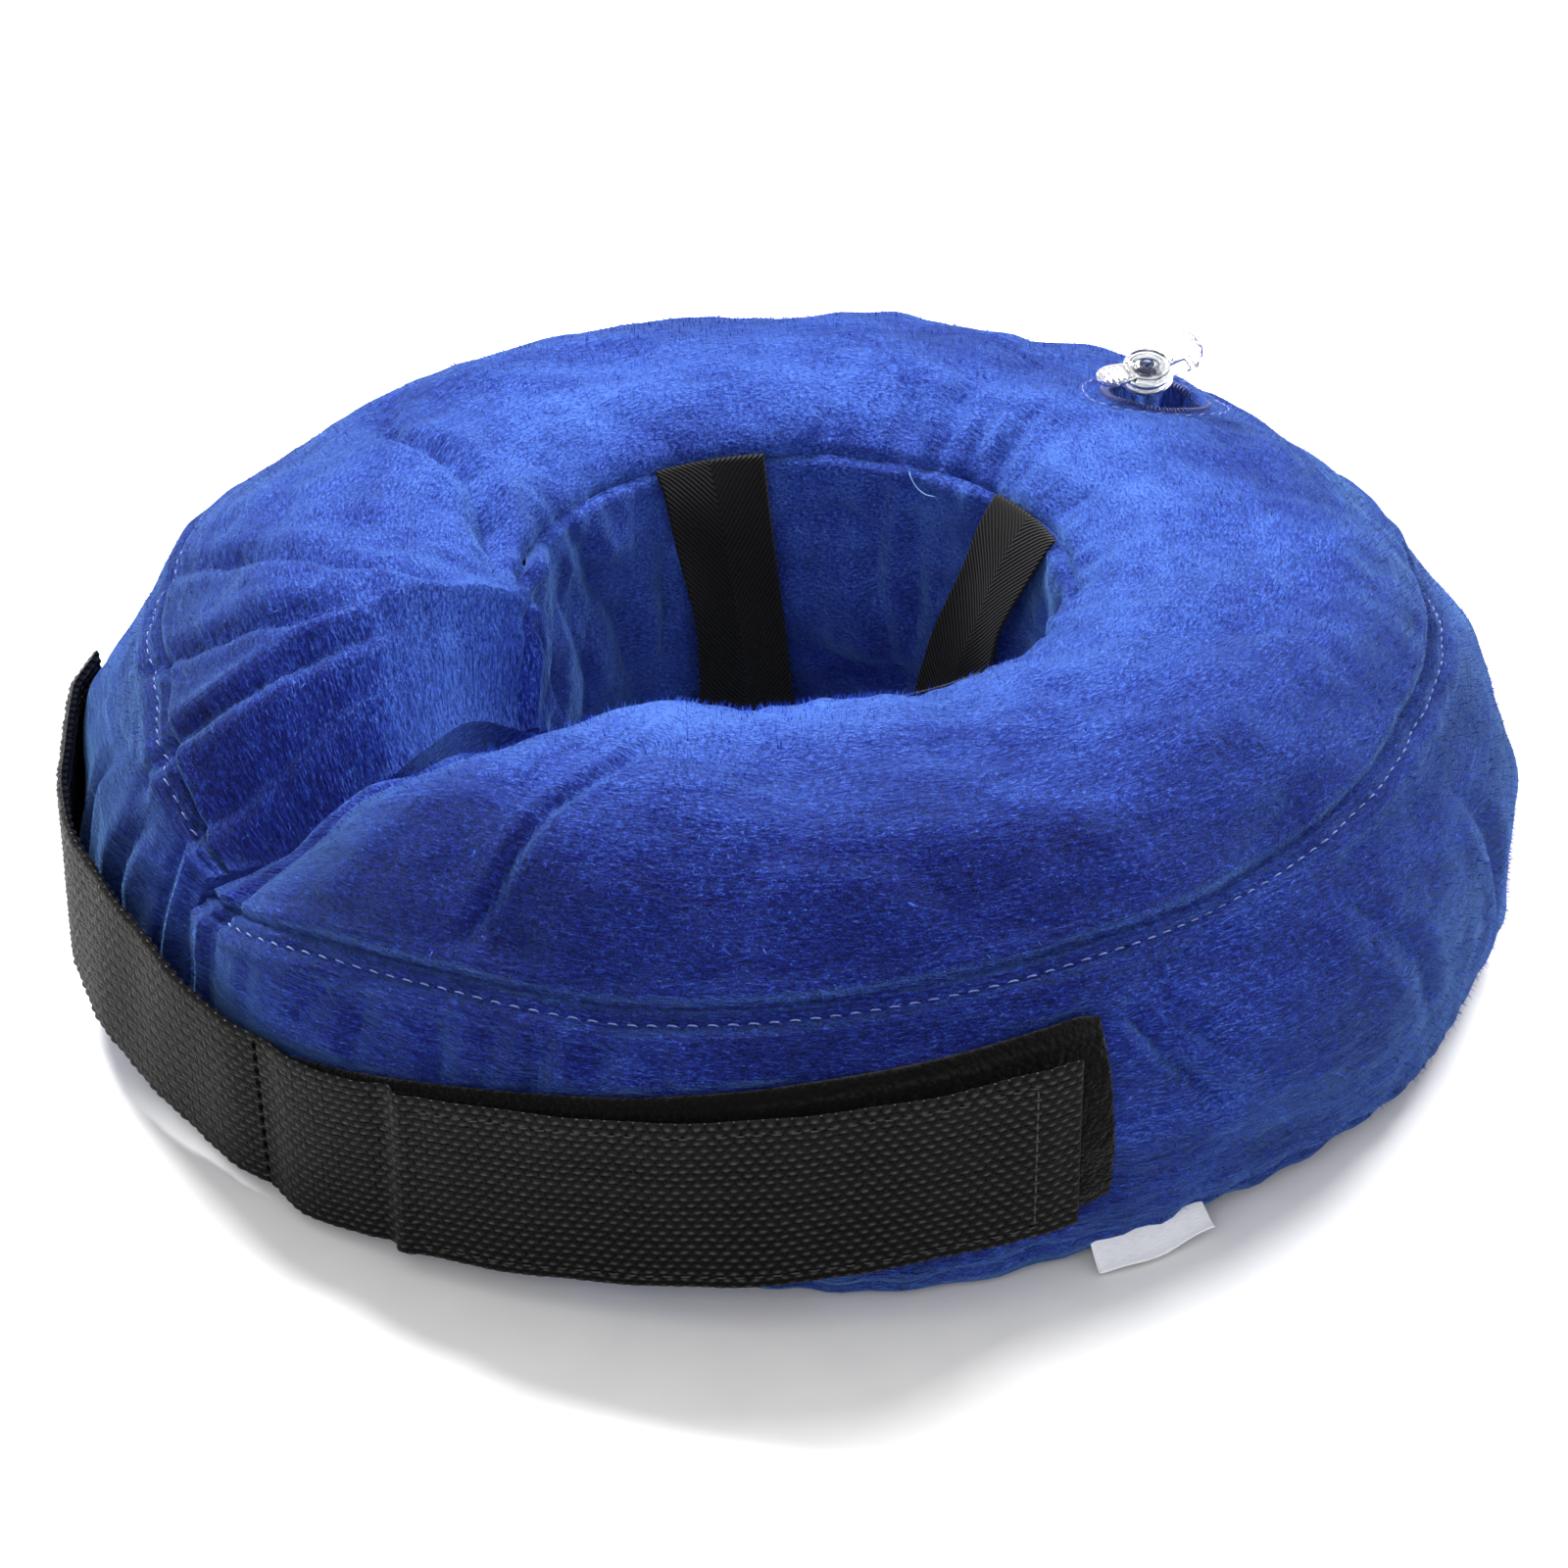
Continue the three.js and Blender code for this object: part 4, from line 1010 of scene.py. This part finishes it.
# ---- Care label ----
def care_label():
    def place(u, v):
        x = (u - 0.5) * 26
        angle = -0.4 + x / 151 / D
        reach = 146.2 + 8.6 * v + 0.6 * np.sin(u * 5) * v
        z = 7.4 - 6.4 * smooth_step(v * 0.9) + 1.3 * v * (u - 0.35) * 1.6 + 0.4 * np.sin(u * 9) * v
        out = polar(0.55 * np.ones_like(angle), angle, 0.8)
        return polar(reach, angle, np.maximum(z, 0.7)), out, 26.0, 11.2

    made, u = pillow_strip("care_label_tab", 70, 30, place, 0.7, SATIN)
    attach(made, "ring_right")
    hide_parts("care_label")


care_label()


# ---- Stitching ----
def seam_stitches(name, first, last, seam, offset, length, gap, material, thick, lift):
    span = (last - first) * D * 142
    count = int(span / (length + gap))
    angle = first + (last - first) * (np.arange(count) + 0.5) / count
    s = seam(angle) + offset
    points, along, out, across = frames_on_surface(angle, s, lift)
    made, index = capsules(name, points, along, out, length, thick, material, dip=0.45)
    follow_ring(made)


seam_stitches(
    "upper_seam_stitches", FIRST + 4, LAST - 4, upper_seam, 3.6, 2.3, 1.5, SEAM_THREAD, thick=0.2, lift=0.35,
)


def strap_stitches():
    angle_top = np.arange(306.0, 348.8, 1.25)
    points, along, out = [], [], []
    for v in (0.075, 0.925):
        low, high = edges_at(STRAP_EDGES, angle_top)
        z = low + (high - low) * v
        here = polar(STRAP_RADIUS + strap_bulge(angle_top, v) + 0.95, angle_top, z)
        points.append(here)
        along.append(polar(1 + 0 * angle_top, angle_top + 90, 0.12))
        out.append(polar(1 + 0 * angle_top, angle_top, 0))
    v, column = np.linspace(0.12, 0.88, 13), np.full(13, 348.6)
    low, high = edges_at(STRAP_EDGES, column)
    points.append(polar(STRAP_RADIUS + strap_bulge(column, v) + 0.95, column, low + (high - low) * v))
    along.append(np.tile([0, 0, 1.0], (13, 1)))
    out.append(polar(np.ones(13), column, 0))
    points, along, out = [np.concatenate(x) for x in (points, along, out)]
    made, index = capsules("strap_stitches", points, along, out, 2.5, 0.24, BLACK_THREAD, dip=0.5)
    angles = np.degrees(np.arctan2(points[:, 1], points[:, 0])) % 360
    follow_joint(made, "strap", "strap_end", angles[index], *PEEL_BEND)


strap_stitches()


# ---- The button-hole ----
def top_place(x, y):
    """The ring angle and the distance along the section of a place seen from above, on the top panel."""
    angle = np.degrees(np.arctan2(y, x))
    s = np.linspace(SEAMS["rim"] + 2, SEAMS["upper"], 300)
    return angle, np.interp(np.hypot(x, y), at_distance(s, LOOP)[:, 0], s)


def hole_ring(share, count):
    turn = np.linspace(0, 2 * np.pi, count, endpoint=False)
    a, b = HOLE_HALF[0] * share * np.cos(turn), HOLE_HALF[1] * share * np.sin(turn)
    c, s = math.cos(HOLE_AXIS * D), math.sin(HOLE_AXIS * D)
    return HOLE.x + a * c - b * s, HOLE.y + a * s + b * c


def buttonhole():
    x0, y0 = hole_ring(1.0, 84)
    x1, y1 = hole_ring(1.24, 84)
    inner, outer = surface(*top_place(x0, y0)), surface(*top_place(x1, y1))
    inner[:, 2] = np.maximum(inner[:, 2], outer[:, 2] - 0.6)
    along = outer - inner
    out = np.tile([0, 0.1, 1.0], (84, 1))
    middle = (inner + outer) / 2 + out * 0.45
    made, index = capsules("buttonhole_stitches", middle, along, out, 3.0, 0.32, THREAD, dip=0.9)
    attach(made, "ring_left")
    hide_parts("buttonhole_binding")
    x, y = hole_ring(1.62, 30)
    xa, ya = hole_ring(1.62, 300)
    points, along, out, across = frames_on_surface(*top_place(x, y), 0.1)
    ring = np.stack([xa, ya, 0 * xa], 1)
    step = np.roll(ring, -1, 0) - ring
    made, index = capsules(
        "buttonhole_outline_stitches", points, step[::10], out, 2.4, 0.17, SEAM_THREAD, dip=0.4,
    )
    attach(made, "ring_left")


buttonhole()


# ---- The inflation valve, in its own leaning frame ----
JOINTS = {j["name"]: j for j in frame["joints"]}
STEM_Z = -Vector(JOINTS["valve_press"]["axis"]).normalized()
STEM_Y = Vector(JOINTS["stopper_open"]["axis"]).normalized()
STEM_X = STEM_Y.cross(STEM_Z).normalized()
HINGE = Vector(JOINTS["stopper_open"]["pos_m"]) * 1000
STEM_ORIGIN = HINGE - STEM_X * 11.6 - STEM_Z * 4.4
STEM_AXES = np.array([STEM_X, STEM_Y, STEM_Z])


def valve_piece(name, parts, material, body, nodes):
    """Closed forms given as (points, faces) in the valve's frame, made into one piece."""
    points, faces, count = [], [], 0
    for p, f in parts:
        points.append(np.asarray(p, float))
        faces.extend([[int(i) + count for i in face] for face in f])
        count += len(p)
    local = np.concatenate(points)
    placed = np.array(STEM_ORIGIN) + local @ STEM_AXES
    made = make_object(name, placed, faces, material, local[:, :2] * 0.001)
    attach(made, body)
    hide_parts(*nodes)
    return made


def band(line, half_width, thickness, samples=60, sides=14):
    """A moulded band of rounded section along a line in the valve's upright plane."""
    line = np.array(line, float)
    t = lengths_along(line)
    at = np.linspace(0, t[-1], samples)
    p = np.stack([eased(at, t, line[:, k], 1) for k in range(2)], 1)
    d = np.gradient(p, axis=0)
    d /= np.linalg.norm(d, axis=1)[:, None]
    normal = np.stack([-d[:, 1], d[:, 0]], 1)
    turn = np.linspace(0, 2 * np.pi, sides, endpoint=False)
    across = half_width * np.sign(np.cos(turn)) * np.abs(np.cos(turn)) ** 0.5
    deep = thickness / 2 * np.sign(np.sin(turn)) * np.abs(np.sin(turn)) ** 0.6
    size = np.ones(samples)
    size[0] = size[-1] = 0.05
    x = p[:, 0][:, None] + normal[:, 0][:, None] * deep * size[:, None]
    z = p[:, 1][:, None] + normal[:, 1][:, None] * deep * size[:, None]
    y = np.repeat(across[None], samples, 0) * size[:, None]
    return np.stack([x, y, z], -1).reshape(-1, 3), grid_faces(samples, sides, closed_columns=True)


def valve():
    stem = rounded([
        (3.4, -16), (3.9, -16), (4.5, -11), (4.5, 3.2), (4.9, 3.6), (4.5, 4.0), (4.5, 5.2), (5.5, 5.4),
        (5.5, 6.4), (3.4, 6.4), (3.15, 2.2), (3.4, 1.6),
    ], 0.3)
    valve_piece("valve_tube", [turned(stem)], CLEAR, "valve_stem", ["valve_stem"])
    collar = rounded([(4.85, 3.85), (6.0, 3.85), (6.0, 4.95), (4.85, 4.95)], 0.35)
    arm = band([(5.2, 4.4), (8, 4.4), (10.9, 4.4)], 2.0, 1.1, 20)
    valve_piece("valve_collar", [turned(collar), arm], CLEAR, "valve_stem", ["tether_collar"])
    cap = rounded([
        (0.0, 5.2), (0.9, 5.2), (1.6, 8.0), (3.1, 8.15), (3.4, 7.75), (4.3, 7.75), (4.6, 8.15), (5.2, 8.1),
        (5.3, 7.5), (5.3, 6.8), (3.0, 6.75), (2.6, 2.7), (0.0, 2.6),
    ], 0.28)
    tether = band([
        (11.6, 4.4), (12.7, 7.2), (12.5, 10.6), (10.6, 13.3), (8.2, 13.2), (6.2, 10.6), (5.0, 7.7),
    ], 2.0, 1.0)
    knuckle = band([(11.1, 4.4), (11.7, 4.5), (12.1, 5.3)], 2.05, 1.2, 14)
    parts = [turned(cap, 72), tether, knuckle]
    # The thumb tab: a rounded pad with four ribs.
    n_u, n_v = 34, 20
    u, v = np.meshgrid(np.linspace(0, 1, n_u), np.linspace(-1, 1, n_v), indexing="ij")
    x = -3.6 - 8.6 * u
    end = np.sqrt(np.clip(1 - np.clip((u - 0.55) / 0.45, 0, 1) ** 2, 0.0001, 1))
    half = 3.5 * end * (0.82 + 0.18 * smooth_step(u * 2))
    y = v * half
    rim = np.sqrt(np.clip(1 - np.abs(v) ** 6, 0, 1)) * np.clip((1 - u) * 14, 0, 1) ** 0.5
    ribbed = (u > 0.28) * (u < 0.86) * (np.abs(v) < 0.66)
    rib = 0.28 * np.clip(np.sin((u - 0.28) * 2 * np.pi / 0.15), 0, 1) * ribbed
    top = np.stack([x, y, 7.35 + 0.65 * rim + rib + 0.3 * u], -1)
    low = np.stack([x, y, 7.35 - 0.65 * rim + 0.3 * u], -1)[:, ::-1]
    pad = np.concatenate([top, low], 1)
    parts.append((pad.reshape(-1, 3), grid_faces(n_u, 2 * n_v, closed_columns=True)[:, ::-1]))
    valve_piece("valve_stopper", parts, CLEAR, "stopper", ["stopper"])


valve()


# ---- The zip ----
ZIP_RADIUS = 152.0


def zip_pieces():
    for side, word in ((-1, "lower"), (1, "upper")):
        def place(u, v, side=side):
            angle = ZIP_SPAN[0] + 0.3 + (ZIP_SPAN[1] - ZIP_SPAN[0] - 0.6) * u
            z = ZIP_Z + side * (1.0 + 4.2 * v)
            out = outward(angle)
            return polar(ZIP_RADIUS - 1.75 + 0 * angle, angle, z), out, 82.4 * D * 151, 4.2

        made, u = pillow_strip("zip_cloth_" + word, 260, 12, place, 0.7, ZIP_CLOTH, back_columns=6)
        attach(made, "ring_left")
        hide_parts("zip_tape_" + word)
        angle = np.arange(ZIP_SPAN[0] + 1.6, ZIP_SPAN[1] - 1.6, 0.56) + (0.28 if side > 0 else 0)
        centers = polar(ZIP_RADIUS - 0.95 + 0 * angle, angle, ZIP_Z + side * 0.75)
        up = np.tile([0, 0, float(side)], (len(angle), 1))
        out = outward(angle)
        made, index = capsules("zip_teeth_" + word, centers, up, out, 2.5, 0.37, COIL, dip=0.5, sides=8)
        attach(made, "ring_left")
        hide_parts("zip_coil_" + word)
    for name in ("zip_slider", "zip_pull", "zip_stop_start", "zip_stop_end"):
        give_material(name, METAL)


zip_pieces()


# ---- The bladder inside ----
VALVE_FOOT = STEM_ORIGIN - STEM_Z * 14


def bladder(side, first, last):
    """A smooth film tube with rounded ends, well inside the cover."""
    angles = np.linspace(first, last, 90)
    s = np.linspace(0, PERIMETER, 120, endpoint=False)
    loop, normal = at_distance(s, LOOP), at_distance(s, NORMAL)
    inner = loop - normal * 8.5
    away = angles - first if side == "right" else last - angles
    end = np.clip(away * D * TUBE / 60, 0, 1)
    size = 0.3 + 0.65 * np.sqrt(1 - (1 - end) ** 2)
    r = 106 + (inner[:, 0][None] - 106) * size[:, None]
    z = 40 + (inner[:, 1][None] - 40) * size[:, None]
    z = z - END_SINK * smooth_step((z - 42) / 40) * smooth_step(1.3 - end)[:, None]
    points = polar(r, angles[:, None] + split_shift(r, angles[:, None]), z)
    # The film dips in a pocket round the foot of the valve.
    from_valve = np.hypot(points[..., 0] - VALVE_FOOT.x, points[..., 1] - VALVE_FOOT.y)
    points[..., 2] -= 17 * smooth_step((15 - from_valve) / 6) * (points[..., 2] > 60)
    uv = np.stack([np.repeat(angles[:, None], 120, 1) * D * 0.105, np.repeat(s[None], 90, 0) * 0.001], -1)
    faces = grid_faces(90, 120, closed_columns=True)
    made = make_object("air_bladder_" + side, points.reshape(-1, 3), faces, FILM, uv.reshape(-1, 2))
    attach(made, "ring_" + side)
    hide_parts("bladder_" + side)


bladder("left", 90.3, LAST - 4)
bladder("right", FIRST + 4, 89.7)
for name in ("valve_flange", "check_flap"):
    give_material(name, CLEAR)


# ---- Fibres that stand out of the pile ----
def pile(name, count, first_s, last_s):
    """Single leaning fibres over the cover, which soften its outline and its seams."""
    angle = RNG.uniform(FIRST + 0.8, LAST - 0.8, count)
    s = RNG.uniform(first_s, last_s, count)
    radius = at_distance(s, LOOP)[:, 0]
    keep = RNG.uniform(0, 155, count) < radius
    base = surface(angle, s)
    keep &= hole_share(base) > 1.35
    flat, z = np.hypot(base[:, 0], base[:, 1]), base[:, 2]
    outer = radius > 140
    keep &= ~(outer & (angle > ZIP_SPAN[0] - 2) & (angle < ZIP_SPAN[1] + 2) & (np.abs(z - ZIP_Z) < 8))
    keep &= ~(outer & (angle > -78) & (angle < -2) & (z < 60))
    keep &= ~(outer & (angle > 224) & (z < 56))
    angle, s = angle[keep], s[keep]
    base, along, out, across = frames_on_surface(angle, s, -0.2)
    along = along / np.linalg.norm(along, axis=1)[:, None]
    across = across / np.linalg.norm(across, axis=1)[:, None]
    n = len(angle)
    nap_and_painted_light = 0.5 + 0.5 * np.sin(angle * D * 5 + s * 0.05)
    stand = RNG.uniform(0.9, 1.9, n)[:, None]
    lean = along * (RNG.normal(0.7, 0.6, n) * nap_and_painted_light)[:, None] + across * RNG.normal(0.5, 0.6, n)[:, None]
    tip = base + out * stand + lean
    side = np.cross(tip - base, out)
    side = side / np.maximum(np.linalg.norm(side, axis=1), 1e-6)[:, None] * 0.085
    points = np.stack([base - side, base + side, tip], 1).reshape(-1, 3)
    faces = np.arange(3 * n).reshape(-1, 3)
    uv = np.repeat(np.stack([angle * D * 0.115, s * 0.001], 1), 3, 0)
    made = make_object(name, points, faces, PLUSH, uv)
    follow_ring(made)


pile("cover_fibres", 60000, 0.0, SEAMS["lower"] - 1)


def loose_thread():
    """One pale end of sewing thread, left hanging on the neck wall."""
    t = np.linspace(0, 1, 24)
    angle = 125.2 - 5.9 * t + 0.8 * np.sin(5 * t)
    line = polar(54.2 - 1.2 * np.sin(3 * t), angle, 78.2 - 4.6 * t + 0.5 * np.sin(7 * t))
    along = np.gradient(line, axis=0)
    out = -polar(np.ones(24), angle, 0)
    made, index = capsules("loose_thread", line, along, out, 0.62, 0.13, PALE_THREAD, dip=0.0)
    follow_ring(made)


loose_thread()


# ---- Stage, light and camera ----
VIEW_TURN = 62.53 * D  # how far the camera stands round from -Y


def stage():
    n = Nodes("floor")
    speckle = n.noise(n.add("TexCoord").outputs["Object"], 60.0, 2.0)
    n.join("Base Color", n.ramp(speckle, [(0.3, (0.86, 0.86, 0.865)), (0.7, (0.9, 0.9, 0.9))]))
    n.set(Roughness=0.7)
    size, depth, height, bend_radius = 3.0, 2.2, 2.4, 0.7
    curve = [
        (depth - bend_radius + bend_radius * math.sin(t), bend_radius - bend_radius * math.cos(t))
        for t in np.linspace(0, math.pi / 2, 14)
    ]
    profile = [(-size, 0), *curve, (depth, height)]
    back = Vector((-math.sin(VIEW_TURN), math.cos(VIEW_TURN), 0))
    side = Vector((math.cos(VIEW_TURN), math.sin(VIEW_TURN), 0))
    points = []
    for d, z in profile:
        for x in (-4, 4):
            points.append(back * d + side * x + Vector((0, 0, z - 0.0004)))
    floor = make_object("floor", np.array(points) * 1000, grid_faces(len(profile), 2)[:, ::-1], n.material)


def light(name, kind, location, energy, size, target=(0, 0, 0.04), color=(1, 1, 1)):
    data = bpy.data.lights.new(name, kind)
    data.energy, data.color = energy, color
    data.shape, data.size = "DISK", size
    made = bpy.data.objects.new(name, data)
    made.location = location
    made.rotation_euler = (Vector(target) - Vector(location)).to_track_quat("-Z", "Y").to_euler()
    bpy.context.scene.collection.objects.link(made)


def camera():
    az, el, distance = VIEW_TURN, 30.53 * D, 0.9973
    back = Vector((math.sin(az) * math.cos(el), -math.cos(az) * math.cos(el), math.sin(el)))
    right = Vector((math.cos(az), math.sin(az), 0))
    data = bpy.data.cameras.new("camera")
    data.sensor_width = 36
    data.lens = 36 * 2.9143
    made = bpy.data.objects.new("camera", data)
    made.location = right * -0.003 + Vector((0, 0, 0.0265)) + back * distance
    made.rotation_mode = "QUATERNION"
    made.rotation_quaternion = (-back).to_track_quat("-Z", "Y")
    bpy.context.scene.collection.objects.link(made)
    bpy.context.scene.camera = made


def world():
    made = bpy.data.worlds.new("studio")
    made.use_nodes = True
    shade = made.node_tree.nodes["Background"]
    shade.inputs["Color"].default_value = (1.0, 1.0, 1.0, 1)
    shade.inputs["Strength"].default_value = 0.72
    bpy.context.scene.world = made


stage()
camera()
world()
light("key", "AREA", (-1.15, -0.10, 1.20), 60, 0.45)
light("top", "AREA", (-0.30, 0.85, 1.05), 24, 0.6)
light("fill", "AREA", (1.3, -1.0, 0.9), 9, 1.2)
bpy.context.scene.view_settings.view_transform = "Standard"
